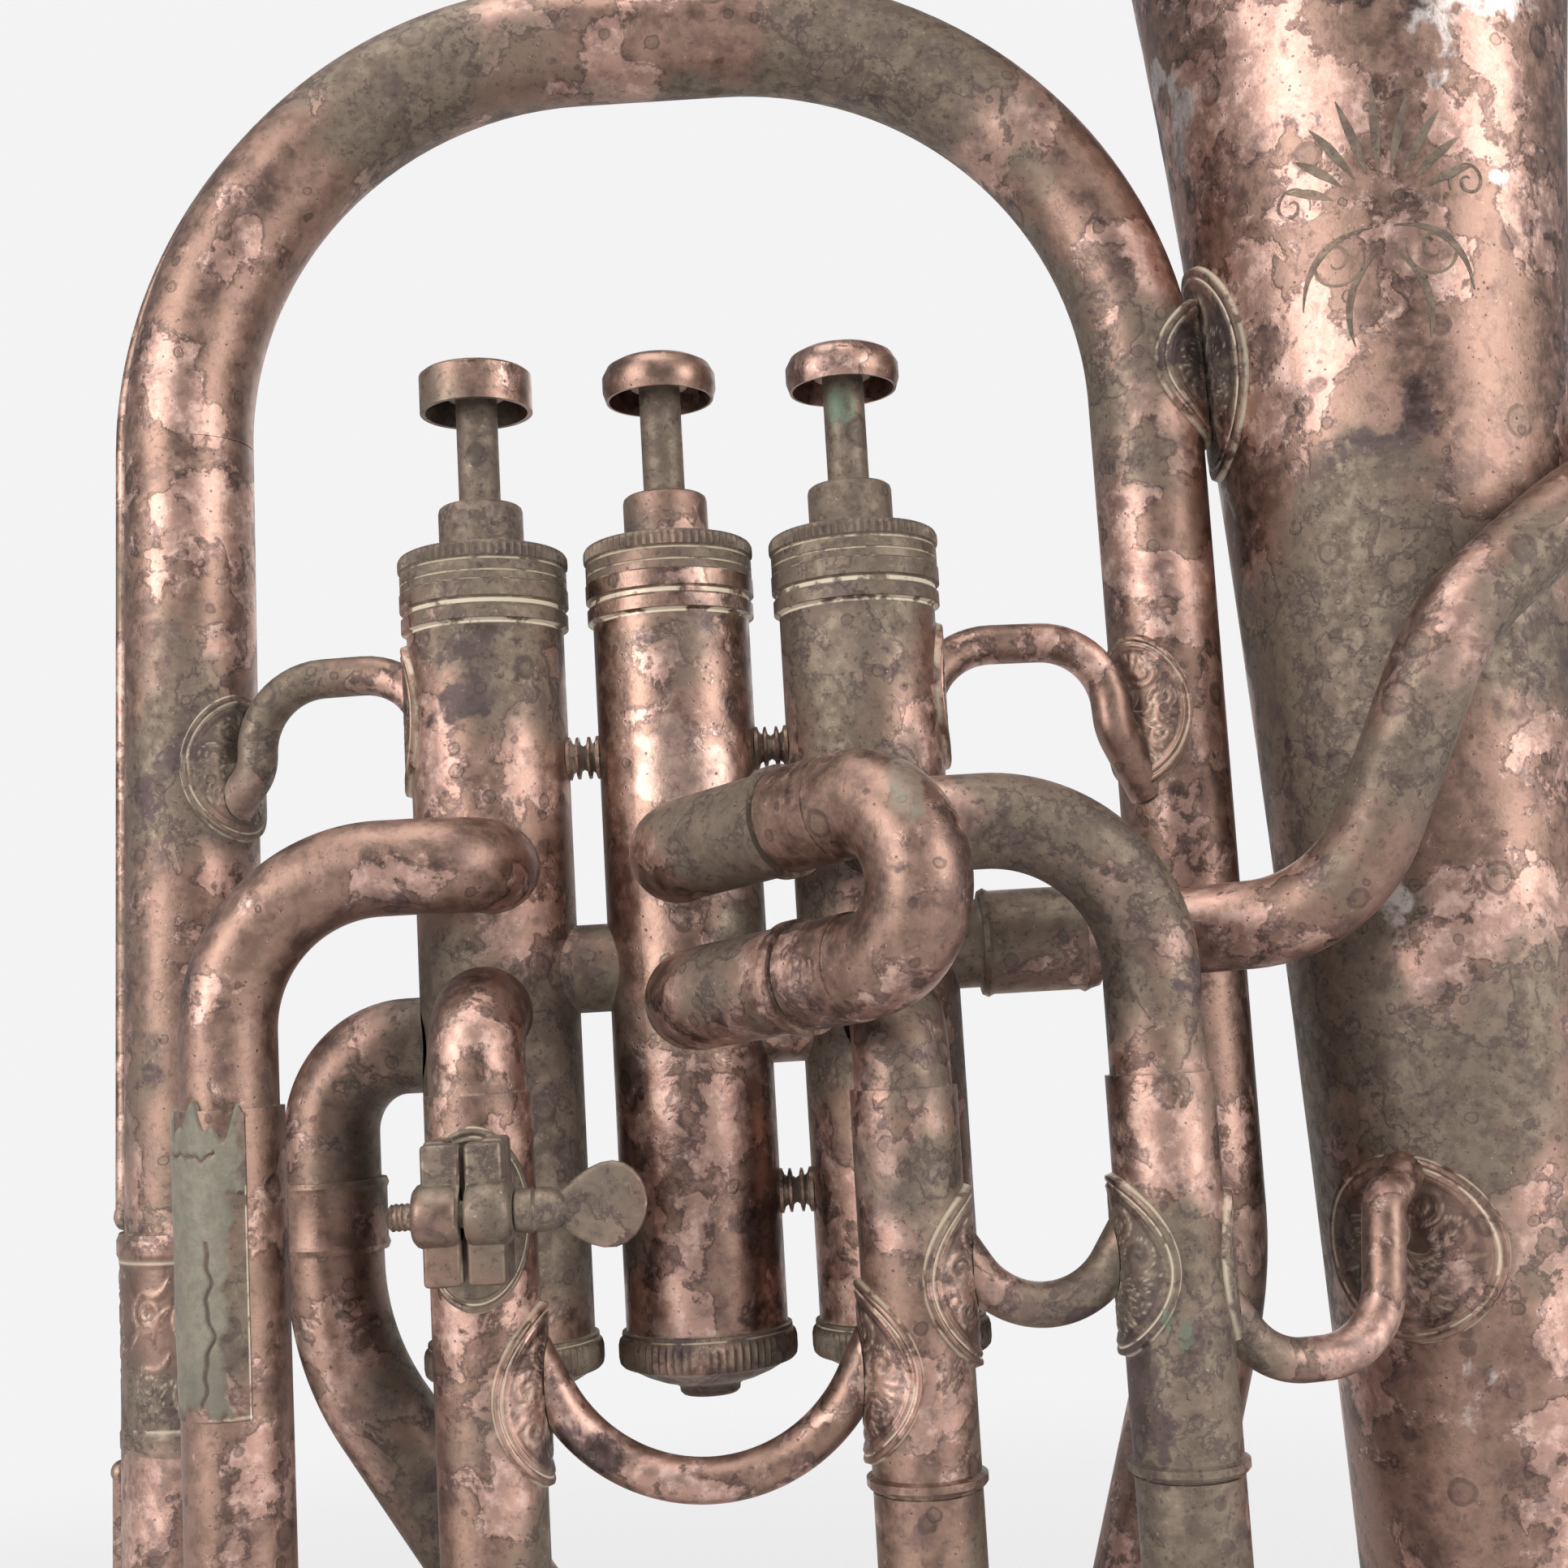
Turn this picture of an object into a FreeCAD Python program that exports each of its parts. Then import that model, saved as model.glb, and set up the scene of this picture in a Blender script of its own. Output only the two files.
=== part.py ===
"""Baritone horn, bell up, with three piston valves and four slides.

The frame: +Z runs up the bell's axis, -Y faces the listener's side, where the valve slides are, and the
origin is under the middle of the horn, level with the lowest point of the bottom bow.  All sizes are in
millimetres and live in the spreadsheet.  Most places are given from the valve block's own point: the
second valve's axis, at the height of its upper casing bands.
"""
import FreeCAD, Part
import math
import os

import Sketcher
from FreeCAD import Placement, Rotation, Vector

os.makedirs("parts", exist_ok=True)
doc = FreeCAD.newDocument("baritone_horn")

SIZES = {
    # the valve block's point in the horn's frame
    "block_x": -68.68, "block_y": -18.0, "block_z": 323.33,
    # walls
    "thin_wall": 0.7, "bell_wall": 0.9,
    # valves
    "valve_pitch": 28.6, "casing_radius": 11.95, "casing_bore": 10.75,
    "casing_foot_z": -96.3, "casing_length": 114.3, "band_foot": 105.2, "band_radius": 12.75,
    "band_height": 2.3, "collar_foot": 108.6, "collar_radius": 12.9, "collar_height": 2.7,
    "cap_foot_z": 15.0, "cap_skirt_radius": 12.75, "cap_knurl_radius": 13.05, "cap_skirt_height": 3.4,
    "cap_rim_height": 5.6, "cap_inside_height": 3.0, "cap_boss_radius": 6.5, "cap_boss_height": 13.9,
    "stem_hole": 3.28, "stem_radius": 3.2,
    "bottom_cap_radius": 13.2, "bottom_cap_height": 9.7, "bottom_cap_spigot": 4.0, "bottom_cap_tip": 4.4,
    "piston_radius": 10.67, "piston_bore": 9.8, "piston_foot_z": -62.0, "piston_length": 77.8,
    "passage_radius": 5.6, "passage_bore": 5.0, "valve_stroke": 16.0,
    "felt_thickness": 2.0, "button_foot_z": 44.0, "button_height": 6.3, "button_radius": 8.8,
    "button_inside": 7.9, "button_depth": 5.0,
    "spring_radius": 7.6, "spring_wire": 0.55, "spring_turns": 7.0,
    # small windway tubes
    "tube_radius": 6.8, "tube_bore": 6.1, "leg_radius": 7.5, "crook_leg_radius": 6.72,
    "bow_radius": 7.0, "sleeve_radius": 7.5, "sleeve_length": 16.0, "ring_radius": 8.3, "ring_width": 1.8,
    "knuckle_bend": 8.0, "slide_bend": 22.0, "slide_plane_y": -21.0, "tube_overlap": 6.0, "stop_gap": 0.6,
    # first, second and third slides
    "first_port_x": -27.4, "first_inner_x": -29.2, "first_outer_x": -63.8, "first_upper_z": -27.8,
    "first_lower_z": -49.0, "first_leg_top_z": -60.0, "first_leg_foot_z": -134.0, "first_bow_z": -150.0,
    "first_leg_gap": 14.0,
    "third_port_x": 30.0, "third_inner_x": 30.0, "third_outer_x": 65.7, "third_upper_z": -26.0,
    "third_lower_z": -53.0, "third_leg_top_z": -62.5, "third_leg_foot_z": -116.0, "third_bow_z": -222.0,
    "third_leg_gap": 8.0,
    "second_port_y": -15.0, "second_upper_z": -27.3, "second_bow_spread": 21.4, "second_rise_deg": 5.0,
    "second_turn_deg": 45.0, "second_leg_length": 23.0, "second_bow_centre": 34.3, "second_leg_radius": 7.3,
    "second_leg_gap": 8.0, "second_bend": 10.0,
    # leads between the valves
    "transfer_one_z": -43.0, "transfer_two_z": -52.0, "transfer_radius": 6.6, "transfer_bore": 6.0,
    "spacer_radius": 3.2, "spacer_upper_z": -11.0, "spacer_lower_z": -77.5, "spacer_waist": 2.2,
    # body of the horn
    "body_y": 18.0, "left_x": -78.8, "left_foot_x": -80.7, "right_x": 78.8, "bow_shoulder_z": 46.0,
    "top_bow_bend": 66.5, "left_radius_top": 10.25, "left_radius_foot": 10.8, "right_radius": 9.1,
    "garland_top_z": -79.5, "garland_foot_z": -112.8, "garland_radius": 11.4, "garland_band": 2.8,
    "bell_x": 118.4, "bell_rim_z": 294.0, "bell_rim_radius": 115.0, "bell_flare_offset": 43.3,
    "bell_flare_power": 0.725, "bell_foot_z": -206.0, "rim_wire_radius": 2.0,
    "bottom_bow_x": -81.2, "bottom_bow_foot_radius": 10.95, "bell_ferrule_height": 16.0,
    "guard_radius": 1.5, "guard_lift": 0.35, "guard_ball": 1.8, "guard_arc_deg": 62.0,
    "lower_guard_arc_deg": 70.0,
    # exit of the first valve and the main tuning slide
    "exit_z": -53.0, "exit_x": -56.2, "exit_y": 7.0, "exit_radius": 7.2, "exit_bend": 13.0,
    "exit_ferrule_top_z": -72.6, "exit_ferrule_foot_z": -83.2, "exit_ferrule_radius": 8.0,
    "main_left_x": -12.0, "main_right_x": 58.0, "main_y": 12.0, "main_tube_radius": 8.6,
    "main_leg_radius": 9.3, "main_crook_radius": 8.52, "main_crook_bore": 7.8, "main_bow_radius": 8.9,
    "main_leg_foot_z": -212.0, "main_bow_z": -216.0, "main_leg_length": 32.0,
    # water key
    "key_pivot_y": -2.0, "key_pivot_drop": 12.5, "key_nipple_length": 11.5, "key_nipple_radius": 3.5,
    "key_pin_radius": 0.93, "key_pin_hole": 1.0, "key_hub_radius": 2.2, "key_pad_radius": 4.4,
    # leadpipe and receiver
    "leadpipe_z": -42.5, "leadpipe_radius": 6.7, "leadpipe_end_radius": 5.9,
    "coupling_radius": 8.0, "coupling_start": 44.0, "coupling_length": 17.5,
    "receiver_radius": 7.4, "receiver_bore": 5.7, "receiver_length": 42.0, "receiver_depth": 30.0,
    "receiver_overlap": 8.0,
    # braces
    "rod_radius": 3.1, "flange_thickness": 1.0, "flange_height": 25.0, "disc_radius": 14.0,
    "disc_z": -91.3, "leaf_z": 49.0, "post_radius": 2.4,
    # lyre clamp
    "clamp_screw_z": -75.0, "clamp_screw_y": -35.9, "clamp_lug_radius": 4.3, "clamp_slit": 0.8,
    "clamp_socket": 4.4, "clamp_lug_reach": 6.6, "clamp_plate_reach": 5.4, "screw_radius": 1.85,
    "screw_hole": 1.93,
}

sheet = doc.addObject("Spreadsheet::Sheet", "dim")
for row, (alias, number) in enumerate(SIZES.items(), 1):
    sheet.set(f"A{row}", alias)
    sheet.set(f"B{row}", str(number))
    sheet.setAlias(f"B{row}", alias)
doc.recompute()


def size(alias):
    """One driving dimension, as a number."""
    return float(getattr(sheet, alias))


def value(expression):
    """The number that an expression on the sheet gives."""
    return float(sheet.evalExpression(expression.replace("dim.", "")))


NODES = {}
UP = Vector(0, 0, 1)
LEFT, RIGHT = Vector(-1, 0, 0), Vector(1, 0, 0)
FRONT, BACK = Vector(0, -1, 0), Vector(0, 1, 0)
BLOCK = Vector(size("block_x"), size("block_y"), size("block_z"))
SLIDE_Y = size("slide_plane_y")
BODY_Y = size("body_y")


def at(x, y, z):
    """A point given from the valve block's own point."""
    return BLOCK + Vector(x, y, z)


def facing(point, direction):
    """A placement at a point whose Z axis runs along a direction."""
    return Placement(point, Rotation(UP, direction))


def node(label, obj):
    """Names an object as a finished sub-part."""
    obj.Label = label
    NODES[label] = obj
    return obj


def primitive(kind, name, place, **sizes):
    """A Part primitive whose sizes follow expressions on the sheet."""
    obj = doc.addObject("Part::" + kind, name)
    for prop, expression in sizes.items():
        obj.setExpression(prop, expression)
    obj.Placement = place
    return obj


def joined(name, *shapes):
    """Several solids made into one."""
    if len(shapes) == 1:
        return shapes[0]
    fusion = doc.addObject("Part::MultiFuse", name)
    fusion.Shapes = list(shapes)
    return fusion


def less(name, base, *tools):
    """A solid with other solids taken away."""
    for i, tool in enumerate(tools):
        cut = doc.addObject("Part::Cut", f"{name}_less_{i}")
        cut.Base = base
        cut.Tool = tool
        base = cut
    return base


def within(name, first, second):
    """What two solids share."""
    common = doc.addObject("Part::MultiCommon", name)
    common.Shapes = [first, second]
    return common


def group(name, *shapes):
    """Separate solids kept together in one sub-part."""
    compound = doc.addObject("Part::Compound", name)
    compound.Links = list(shapes)
    return compound


def turned(name, outline, place):
    """A turned piece: the closed outline, pairs of radius and height, goes round the Z axis."""
    body = doc.addObject("PartDesign::Body", name)
    sketch = body.newObject("Sketcher::SketchObject", name + "_outline")
    plane = [item for item in body.Origin.OriginFeatures if item.Role == "XZ_Plane"][0]
    sketch.AttachmentSupport = (plane, [""])
    sketch.MapMode = "FlatFace"
    corners = [Vector(value(radius), value(height), 0) for radius, height in outline]
    count = len(corners)
    for i in range(count):
        sketch.addGeometry(Part.LineSegment(corners[i], corners[(i + 1) % count]), False)
    for i in range(count):
        sketch.addConstraint(Sketcher.Constraint("Coincident", i, 2, (i + 1) % count, 1))
    for i, (radius, height) in enumerate(outline):
        for kind, axis, expression, distance in (("DistanceX", -2, radius, corners[i].x),
                                                 ("DistanceY", -1, height, corners[i].y)):
            if distance == 0:
                sketch.addConstraint(Sketcher.Constraint("PointOnObject", i, 1, axis))
                continue
            index = sketch.addConstraint(Sketcher.Constraint(kind, -1, 1, i, 1, distance))
            sketch.setExpression(f"Constraints[{index}]", expression)
    doc.recompute()
    turn = body.newObject("PartDesign::Revolution", name + "_turn")
    turn.Profile = sketch
    turn.ReferenceAxis = (sketch, ["V_Axis"])
    turn.Angle = 360
    body.Placement = place
    return body


def route(name, points, bends):
    """A wire of straight runs through the points, joined by tangent arcs of the given radii."""
    edges = []
    start = points[0]
    for before, corner, after, bend in zip(points, points[1:], points[2:], bends):
        arriving = (corner - before).normalize()
        leaving = (after - corner).normalize()
        half_turn = arriving.getAngle(leaving) / 2
        arc_start = corner - arriving * (bend * math.tan(half_turn))
        arc_end = corner + leaving * (bend * math.tan(half_turn))
        inward = (leaving - arriving).normalize()
        arc_middle = corner + inward * (bend / math.cos(half_turn) - bend)
        if (arc_start - start).Length > 1e-4:
            edges.append(Part.LineSegment(start, arc_start).toShape())
        edges.append(Part.Arc(arc_start, arc_middle, arc_end).toShape())
        start = arc_end
    if (points[-1] - start).Length > 1e-4:
        edges.append(Part.LineSegment(start, points[-1]).toShape())
    wire = doc.addObject("Part::Feature", name)
    wire.Shape = Part.Wire(edges)
    return wire


def swept(name, spine, start_radius, end_radius=None):
    """A solid round bar along a route, of one radius or tapering from one end to the other."""
    edges = spine.Shape.OrderedEdges
    first, last = edges[0], edges[-1]
    ends = [(first, first.FirstParameter, start_radius)]
    if end_radius:
        ends.append((last, last.LastParameter, end_radius))
    sections = []
    for i, (edge, parameter, radius) in enumerate(ends):
        place = facing(edge.valueAt(parameter), edge.tangentAt(parameter))
        sections.append(primitive("Circle", f"{name}_section_{i}", place, Radius=radius))
    sweep = doc.addObject("Part::Sweep", name)
    sweep.Sections = sections
    sweep.Spine = (spine, [f"Edge{i + 1}" for i in range(len(edges))])
    sweep.Solid = True
    sweep.Frenet = False
    return sweep


def pipe(name, points, bends, radius, bore, *trims, end_radius=None, end_bore=None):
    """A tube along a route, with other solids taken away from it.  Gives the tube and its filled form."""
    spine = route(name + "_route", points, bends)
    outside = swept(name + "_outside", spine, radius, end_radius)
    inside = swept(name + "_inside", spine, bore, end_bore)
    tube = less(name, outside, inside, *trims)
    return tube, outside


def bar(name, start, end, radius):
    """A round bar between two points."""
    rod = primitive("Cylinder", name, facing(start, end - start), Radius=radius)
    rod.Height = (end - start).Length
    return rod


def box(name, low, high):
    """A block between two corners."""
    block = doc.addObject("Part::Box", name)
    block.Length, block.Width, block.Height = high.x - low.x, high.y - low.y, high.z - low.z
    block.Placement = Placement(low, Rotation())
    return block


# ---------------------------------------------------------------- valves

VALVE_X = [(i - 1) * size("valve_pitch") for i in range(3)]
WINDWAY = size("tube_bore")
RISE = math.radians(size("second_rise_deg"))
TURN = math.radians(size("second_turn_deg"))
SECOND_OUT = Vector(math.sin(TURN) * math.cos(RISE), -math.cos(TURN) * math.cos(RISE), math.sin(RISE))
SECOND_UP = (UP - SECOND_OUT * SECOND_OUT.dot(UP)).normalize()
SECOND_UPPER = at(0, size("second_port_y"), size("second_upper_z"))
SECOND_LOWER = SECOND_UPPER - SECOND_UP * size("second_bow_spread")
SECOND_UPPER_Z = size("second_upper_z")
SECOND_LOWER_Z = (SECOND_LOWER - BLOCK).z

# each valve's ports: the side that the port opens to, and its height
ONE_Z, TWO_Z = size("transfer_one_z"), size("transfer_two_z")
PORTS = [
    {"in": (RIGHT, ONE_Z), "out": (LEFT, size("exit_z")),
     "upper": size("first_upper_z"), "lower": size("first_lower_z")},
    {"in": (RIGHT, TWO_Z), "out": (LEFT, ONE_Z), "upper": SECOND_UPPER_Z, "lower": SECOND_LOWER_Z},
    {"in": (RIGHT, size("leadpipe_z")), "out": (LEFT, TWO_Z),
     "upper": size("third_upper_z"), "lower": size("third_lower_z")},
]


def casing_space(i):
    """The whole space inside a casing's outer wall, for shaping what is soldered to it."""
    return primitive("Cylinder", f"casing_space_{i}", facing(at(VALVE_X[i], 0, size("casing_foot_z")), UP),
                     Radius="dim.casing_radius", Height="dim.casing_length")


def port_drills(name, i, radius, length, lift=0.0):
    """Drills from a valve's axis out through each of its four ports."""
    ports = PORTS[i]
    sides = [ports["in"], ports["out"], (FRONT, ports["upper"]), (FRONT, ports["lower"])]
    drills = []
    for k, (side, height) in enumerate(sides):
        centre = at(VALVE_X[i], 0, height + lift)
        drills.append(bar(f"{name}_{i}_{k}", centre, centre + side * length, radius))
    return drills


CASING_SPACES = [casing_space(i) for i in range(3)]


def valve_casing(i):
    """The casing tube with its two bands near the top and its four ports."""
    tube = turned(f"casing_tube_{i}", [
        ("dim.casing_bore", "0"), ("dim.casing_radius", "0"), ("dim.casing_radius", "dim.band_foot"),
        ("dim.band_radius", "dim.band_foot + 0.4"), ("dim.band_radius", "dim.band_foot + dim.band_height"),
        ("dim.casing_radius + 0.3", "dim.band_foot + dim.band_height + 0.4"),
        ("dim.casing_radius + 0.3", "dim.collar_foot"), ("dim.collar_radius", "dim.collar_foot + 0.3"),
        ("dim.collar_radius", "dim.collar_foot + dim.collar_height"),
        ("dim.casing_radius", "dim.collar_foot + dim.collar_height"),
        ("dim.casing_radius", "dim.casing_length"), ("dim.casing_bore", "dim.casing_length"),
    ], facing(at(VALVE_X[i], 0, size("casing_foot_z")), UP))
    node(f"valve_casing_{i + 1}", less(f"casing_{i}", tube, *port_drills("port", i, "dim.tube_bore", 20)))


def top_cap(i):
    """The screwed cap with its knurled rim and the boss that the stem runs through."""
    cap = turned(f"cap_{i}", [
        ("dim.casing_radius", "0"), ("dim.cap_skirt_radius", "0"),
        ("dim.cap_skirt_radius", "dim.cap_skirt_height"),
        ("dim.cap_knurl_radius", "dim.cap_skirt_height + 0.2"), ("dim.cap_knurl_radius", "dim.cap_rim_height"),
        ("dim.cap_knurl_radius - 0.8", "dim.cap_rim_height + 0.6"),
        ("dim.cap_boss_radius", "dim.cap_rim_height + 0.9"), ("dim.cap_boss_radius", "dim.cap_boss_height - 0.6"),
        ("dim.cap_boss_radius - 0.6", "dim.cap_boss_height"), ("dim.stem_hole", "dim.cap_boss_height"),
        ("dim.stem_hole", "dim.cap_inside_height"), ("dim.casing_radius", "dim.cap_inside_height"),
    ], facing(at(VALVE_X[i], 0, size("cap_foot_z")), UP))
    node(f"top_cap_{i + 1}", cap)


def bottom_cap(i):
    """The screwed bottom cap: a knurled rim over a dished end with a small nub."""
    foot = size("casing_foot_z") - size("bottom_cap_height")
    return turned(f"bottom_{i}", [
        ("0", "0"), ("dim.bottom_cap_tip", "0"), ("dim.bottom_cap_tip + 0.8", "1.4"),
        ("dim.bottom_cap_radius - 0.8", "dim.bottom_cap_height - 5.1"),
        ("dim.bottom_cap_radius", "dim.bottom_cap_height - 4.3"),
        ("dim.bottom_cap_radius", "dim.bottom_cap_height - 0.6"),
        ("dim.bottom_cap_radius - 0.6", "dim.bottom_cap_height"), ("dim.casing_bore", "dim.bottom_cap_height"),
        ("dim.casing_bore", "dim.bottom_cap_height + dim.bottom_cap_spigot"),
        ("dim.casing_bore - 1.3", "dim.bottom_cap_height + dim.bottom_cap_spigot"),
        ("dim.casing_bore - 1.3", "dim.bottom_cap_height - 2.7"), ("0", "dim.bottom_cap_height - 4.2"),
    ], facing(at(VALVE_X[i], 0, foot), UP))


def piston(i):
    """The piston: a closed tube with one windway for the rest position and two for the slide."""
    foot = at(VALVE_X[i], 0, size("piston_foot_z"))
    shell = turned(f"piston_shell_{i}", [
        ("dim.piston_bore", "0"), ("dim.piston_radius", "0"), ("dim.piston_radius", "dim.piston_length"),
        ("0", "dim.piston_length"), ("0", "dim.piston_length - 1.5"),
        ("dim.piston_bore", "dim.piston_length - 1.5"), ("dim.piston_bore", "3.5"),
        ("1.5", "3.5"), ("1.5", "2"), ("dim.piston_bore", "2"),
    ], facing(foot, UP))
    ports = PORTS[i]
    stroke = size("valve_stroke")
    into, out = ports["in"], ports["out"]
    windways = [(into, out), ((into[0], into[1] + stroke), (FRONT, ports["upper"] + stroke)),
                ((FRONT, ports["lower"] + stroke), (out[0], out[1] + stroke))]
    tubes, bores = [], []
    for k, (start, end) in enumerate(windways):
        points = [at(VALVE_X[i], 0, height) + side * size("piston_radius") for side, height in (start, end)]
        along = (points[1] - points[0]).normalize() * 4
        tubes.append(bar(f"windway_{i}_{k}", points[0] - along, points[1] + along, "dim.passage_radius"))
        bores.append(bar(f"windway_bore_{i}_{k}", points[0] - along * 2, points[1] + along * 2, "dim.passage_bore"))
    envelope = primitive("Cylinder", f"piston_envelope_{i}", facing(foot, UP), Radius="dim.piston_radius",
                         Height="dim.piston_length")
    lining = within(f"windways_{i}", joined(f"windway_tubes_{i}", *tubes), envelope)
    node(f"piston_{i + 1}", less(f"piston_{i}", joined(f"piston_blank_{i}", shell, lining), *bores))


def valve_top(i):
    """What the finger moves above the piston: the stem and its button."""
    piston_top = size("piston_foot_z") + size("piston_length")
    stem = primitive("Cylinder", f"stem_{i}", facing(at(VALVE_X[i], 0, piston_top), UP), Radius="dim.stem_radius")
    stem.setExpression("Height", "dim.button_foot_z + dim.button_depth - dim.piston_foot_z - dim.piston_length")
    node(f"valve_stem_{i + 1}", stem)
    straight_side = [("dim.button_radius - 0.1", "0"), ("dim.button_radius - 0.1", "dim.button_height - 0.5"),
                     ("dim.button_radius - 0.7", "dim.button_height")]
    rolled_side = [("dim.button_radius - 0.5", "0.3"), ("dim.button_radius", "1.9"), ("dim.button_radius", "4"),
                   ("dim.button_radius - 0.8", "5.5"), ("dim.button_radius - 2.2", "dim.button_height")]
    side = straight_side if i == 0 else rolled_side
    inside = [("0", "dim.button_height"), ("0", "dim.button_depth"), ("dim.stem_radius", "dim.button_depth"),
              ("dim.stem_radius", "2.5"), ("dim.stem_radius + 1.2", "2.5"),
              ("dim.stem_radius + 1.2", "dim.button_depth"), ("dim.button_inside", "dim.button_depth")]
    lip = ("dim.button_inside", "0") if i == 0 else ("dim.button_inside", "0.3")
    node(f"finger_button_{i + 1}", turned(f"button_{i}", [lip] + side + inside,
                                          facing(at(VALVE_X[i], 0, size("button_foot_z")), UP)))


def valve_spring(i):
    """The coil spring between the bottom cap and the piston: half turns that lean one way and then the other."""
    low = size("casing_foot_z") - 2.0
    high = size("piston_foot_z") + 1.4
    half_turns = int(2 * size("spring_turns"))
    rise = (high - low) / half_turns
    radius = size("spring_radius")
    swing = math.hypot(radius, rise / 2)
    edges = []
    for k in range(half_turns):
        side = 1 if k % 2 == 0 else -1
        foot = at(VALVE_X[i], 0, low + k * rise)
        edges.append(Part.Arc(foot + RIGHT * (side * radius), foot + BACK * (side * swing) + UP * (rise / 2),
                              foot + LEFT * (side * radius) + UP * rise).toShape())
    coil = doc.addObject("Part::Feature", f"spring_coil_{i}")
    coil.Shape = Part.Wire(edges)
    node(f"valve_spring_{i + 1}", swept(f"spring_{i}", coil, "dim.spring_wire"))


def valve_felt(i):
    """The felt ring under the top cap that stops the piston."""
    foot = size("piston_foot_z") + size("piston_length") + 0.2
    return turned(f"felt_{i}", [
        ("dim.stem_radius + 0.8", "0"), ("dim.casing_bore", "0"), ("dim.casing_bore", "dim.felt_thickness"),
        ("dim.stem_radius + 0.8", "dim.felt_thickness"),
    ], facing(at(VALVE_X[i], 0, foot), UP))


for valve in range(3):
    valve_casing(valve)
    top_cap(valve)
    piston(valve)
    valve_top(valve)
    valve_spring(valve)
node("bottom_caps", group("bottoms", *[bottom_cap(i) for i in range(3)]))
node("valve_felts", group("felts", *[valve_felt(i) for i in range(3)]))


def spacer_bars():
    """Four turned bars that hold the casings apart."""
    bars = []
    for gap in range(2):
        left, right = VALVE_X[gap], VALVE_X[gap + 1]
        for height in ("spacer_upper_z", "spacer_lower_z"):
            start = at(left, 0, size(height))
            middle = (left + right) / 2 - left
            blank = turned(f"spacer_{gap}_{height}", [
                ("0", "8"), ("dim.spacer_radius", "8"), ("dim.spacer_radius", f"{middle - 0.6}"),
                ("dim.spacer_waist", f"{middle}"), ("dim.spacer_radius", f"{middle + 0.6}"),
                ("dim.spacer_radius", "dim.valve_pitch - 8"), ("0", "dim.valve_pitch - 8"),
            ], facing(start, RIGHT))
            bars.append(less(f"spacer_bar_{gap}_{height}", blank, CASING_SPACES[gap], CASING_SPACES[gap + 1]))
    return bars


def transfer_tube(gap, height):
    """The short windway from one casing to the next."""
    start, end = at(VALVE_X[gap], 0, height) + RIGHT * 6, at(VALVE_X[gap + 1], 0, height) + LEFT * 6
    outside = bar(f"transfer_{gap}", start, end, "dim.transfer_radius")
    inside = bar(f"transfer_bore_{gap}", start, end, "dim.transfer_bore")
    return less(f"transfer_tube_{gap}", outside, inside, CASING_SPACES[gap], CASING_SPACES[gap + 1])


node("valve_spacer_bars", group("spacers", *spacer_bars()))
node("transfer_tubes", group("transfers", transfer_tube(0, ONE_Z), transfer_tube(1, TWO_Z)))

# ---------------------------------------------------------------- slides

OVERLAP = size("tube_overlap")
TRACE = 0.001  # keeps two half bends from closing the straight run between them


def outer_leg(name, x, top, foot):
    """A fixed slide leg with a raised ring at its open lower end.  Gives the leg and its filled form."""
    place = facing(at(x, SLIDE_Y, foot), UP)
    length = top - foot
    leg = turned(name, [
        ("dim.tube_radius", "0"), ("dim.ring_radius - 0.3", "0"), ("dim.ring_radius", "0.4"),
        ("dim.ring_radius", "dim.ring_width - 0.4"), ("dim.leg_radius", "dim.ring_width"),
        ("dim.leg_radius", f"{length}"), ("dim.tube_radius", f"{length}"),
    ], place)
    solid = primitive("Cylinder", name + "_solid", place, Radius="dim.leg_radius")
    solid.Height = length
    return leg, solid


def crook(name, left_x, right_x, leg_top, foot, bow_z):
    """A slide's moving crook: two legs, the sleeves that stop against the fixed legs, and the bow."""
    bend = (right_x - left_x) / 2
    bottom = bow_z - bend
    sleeve_top = foot - size("stop_gap")

    def line(height):
        return [at(left_x, SLIDE_Y, height), at(left_x, SLIDE_Y, bottom), at(right_x, SLIDE_Y, bottom),
                at(right_x, SLIDE_Y, height)]
    legs = route(name + "_leg_route", line(leg_top), [bend - TRACE] * 2)
    bow = route(name + "_bow_route", line(sleeve_top), [bend - TRACE] * 2)
    sleeves = [turned(f"{name}_sleeve_{k}", [
        ("dim.tube_bore", "0"), ("dim.sleeve_radius", "0"), ("dim.sleeve_radius", "dim.sleeve_length"),
        ("dim.tube_bore", "dim.sleeve_length"),
    ], facing(at(x, SLIDE_Y, sleeve_top - size("sleeve_length")), UP)) for k, x in enumerate((left_x, right_x))]
    blank = joined(name + "_blank", swept(name + "_legs", legs, "dim.crook_leg_radius"),
                   swept(name + "_bow", bow, "dim.bow_radius"), *sleeves)
    return less(name, blank, swept(name + "_bore", legs, "dim.tube_bore"))


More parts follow.
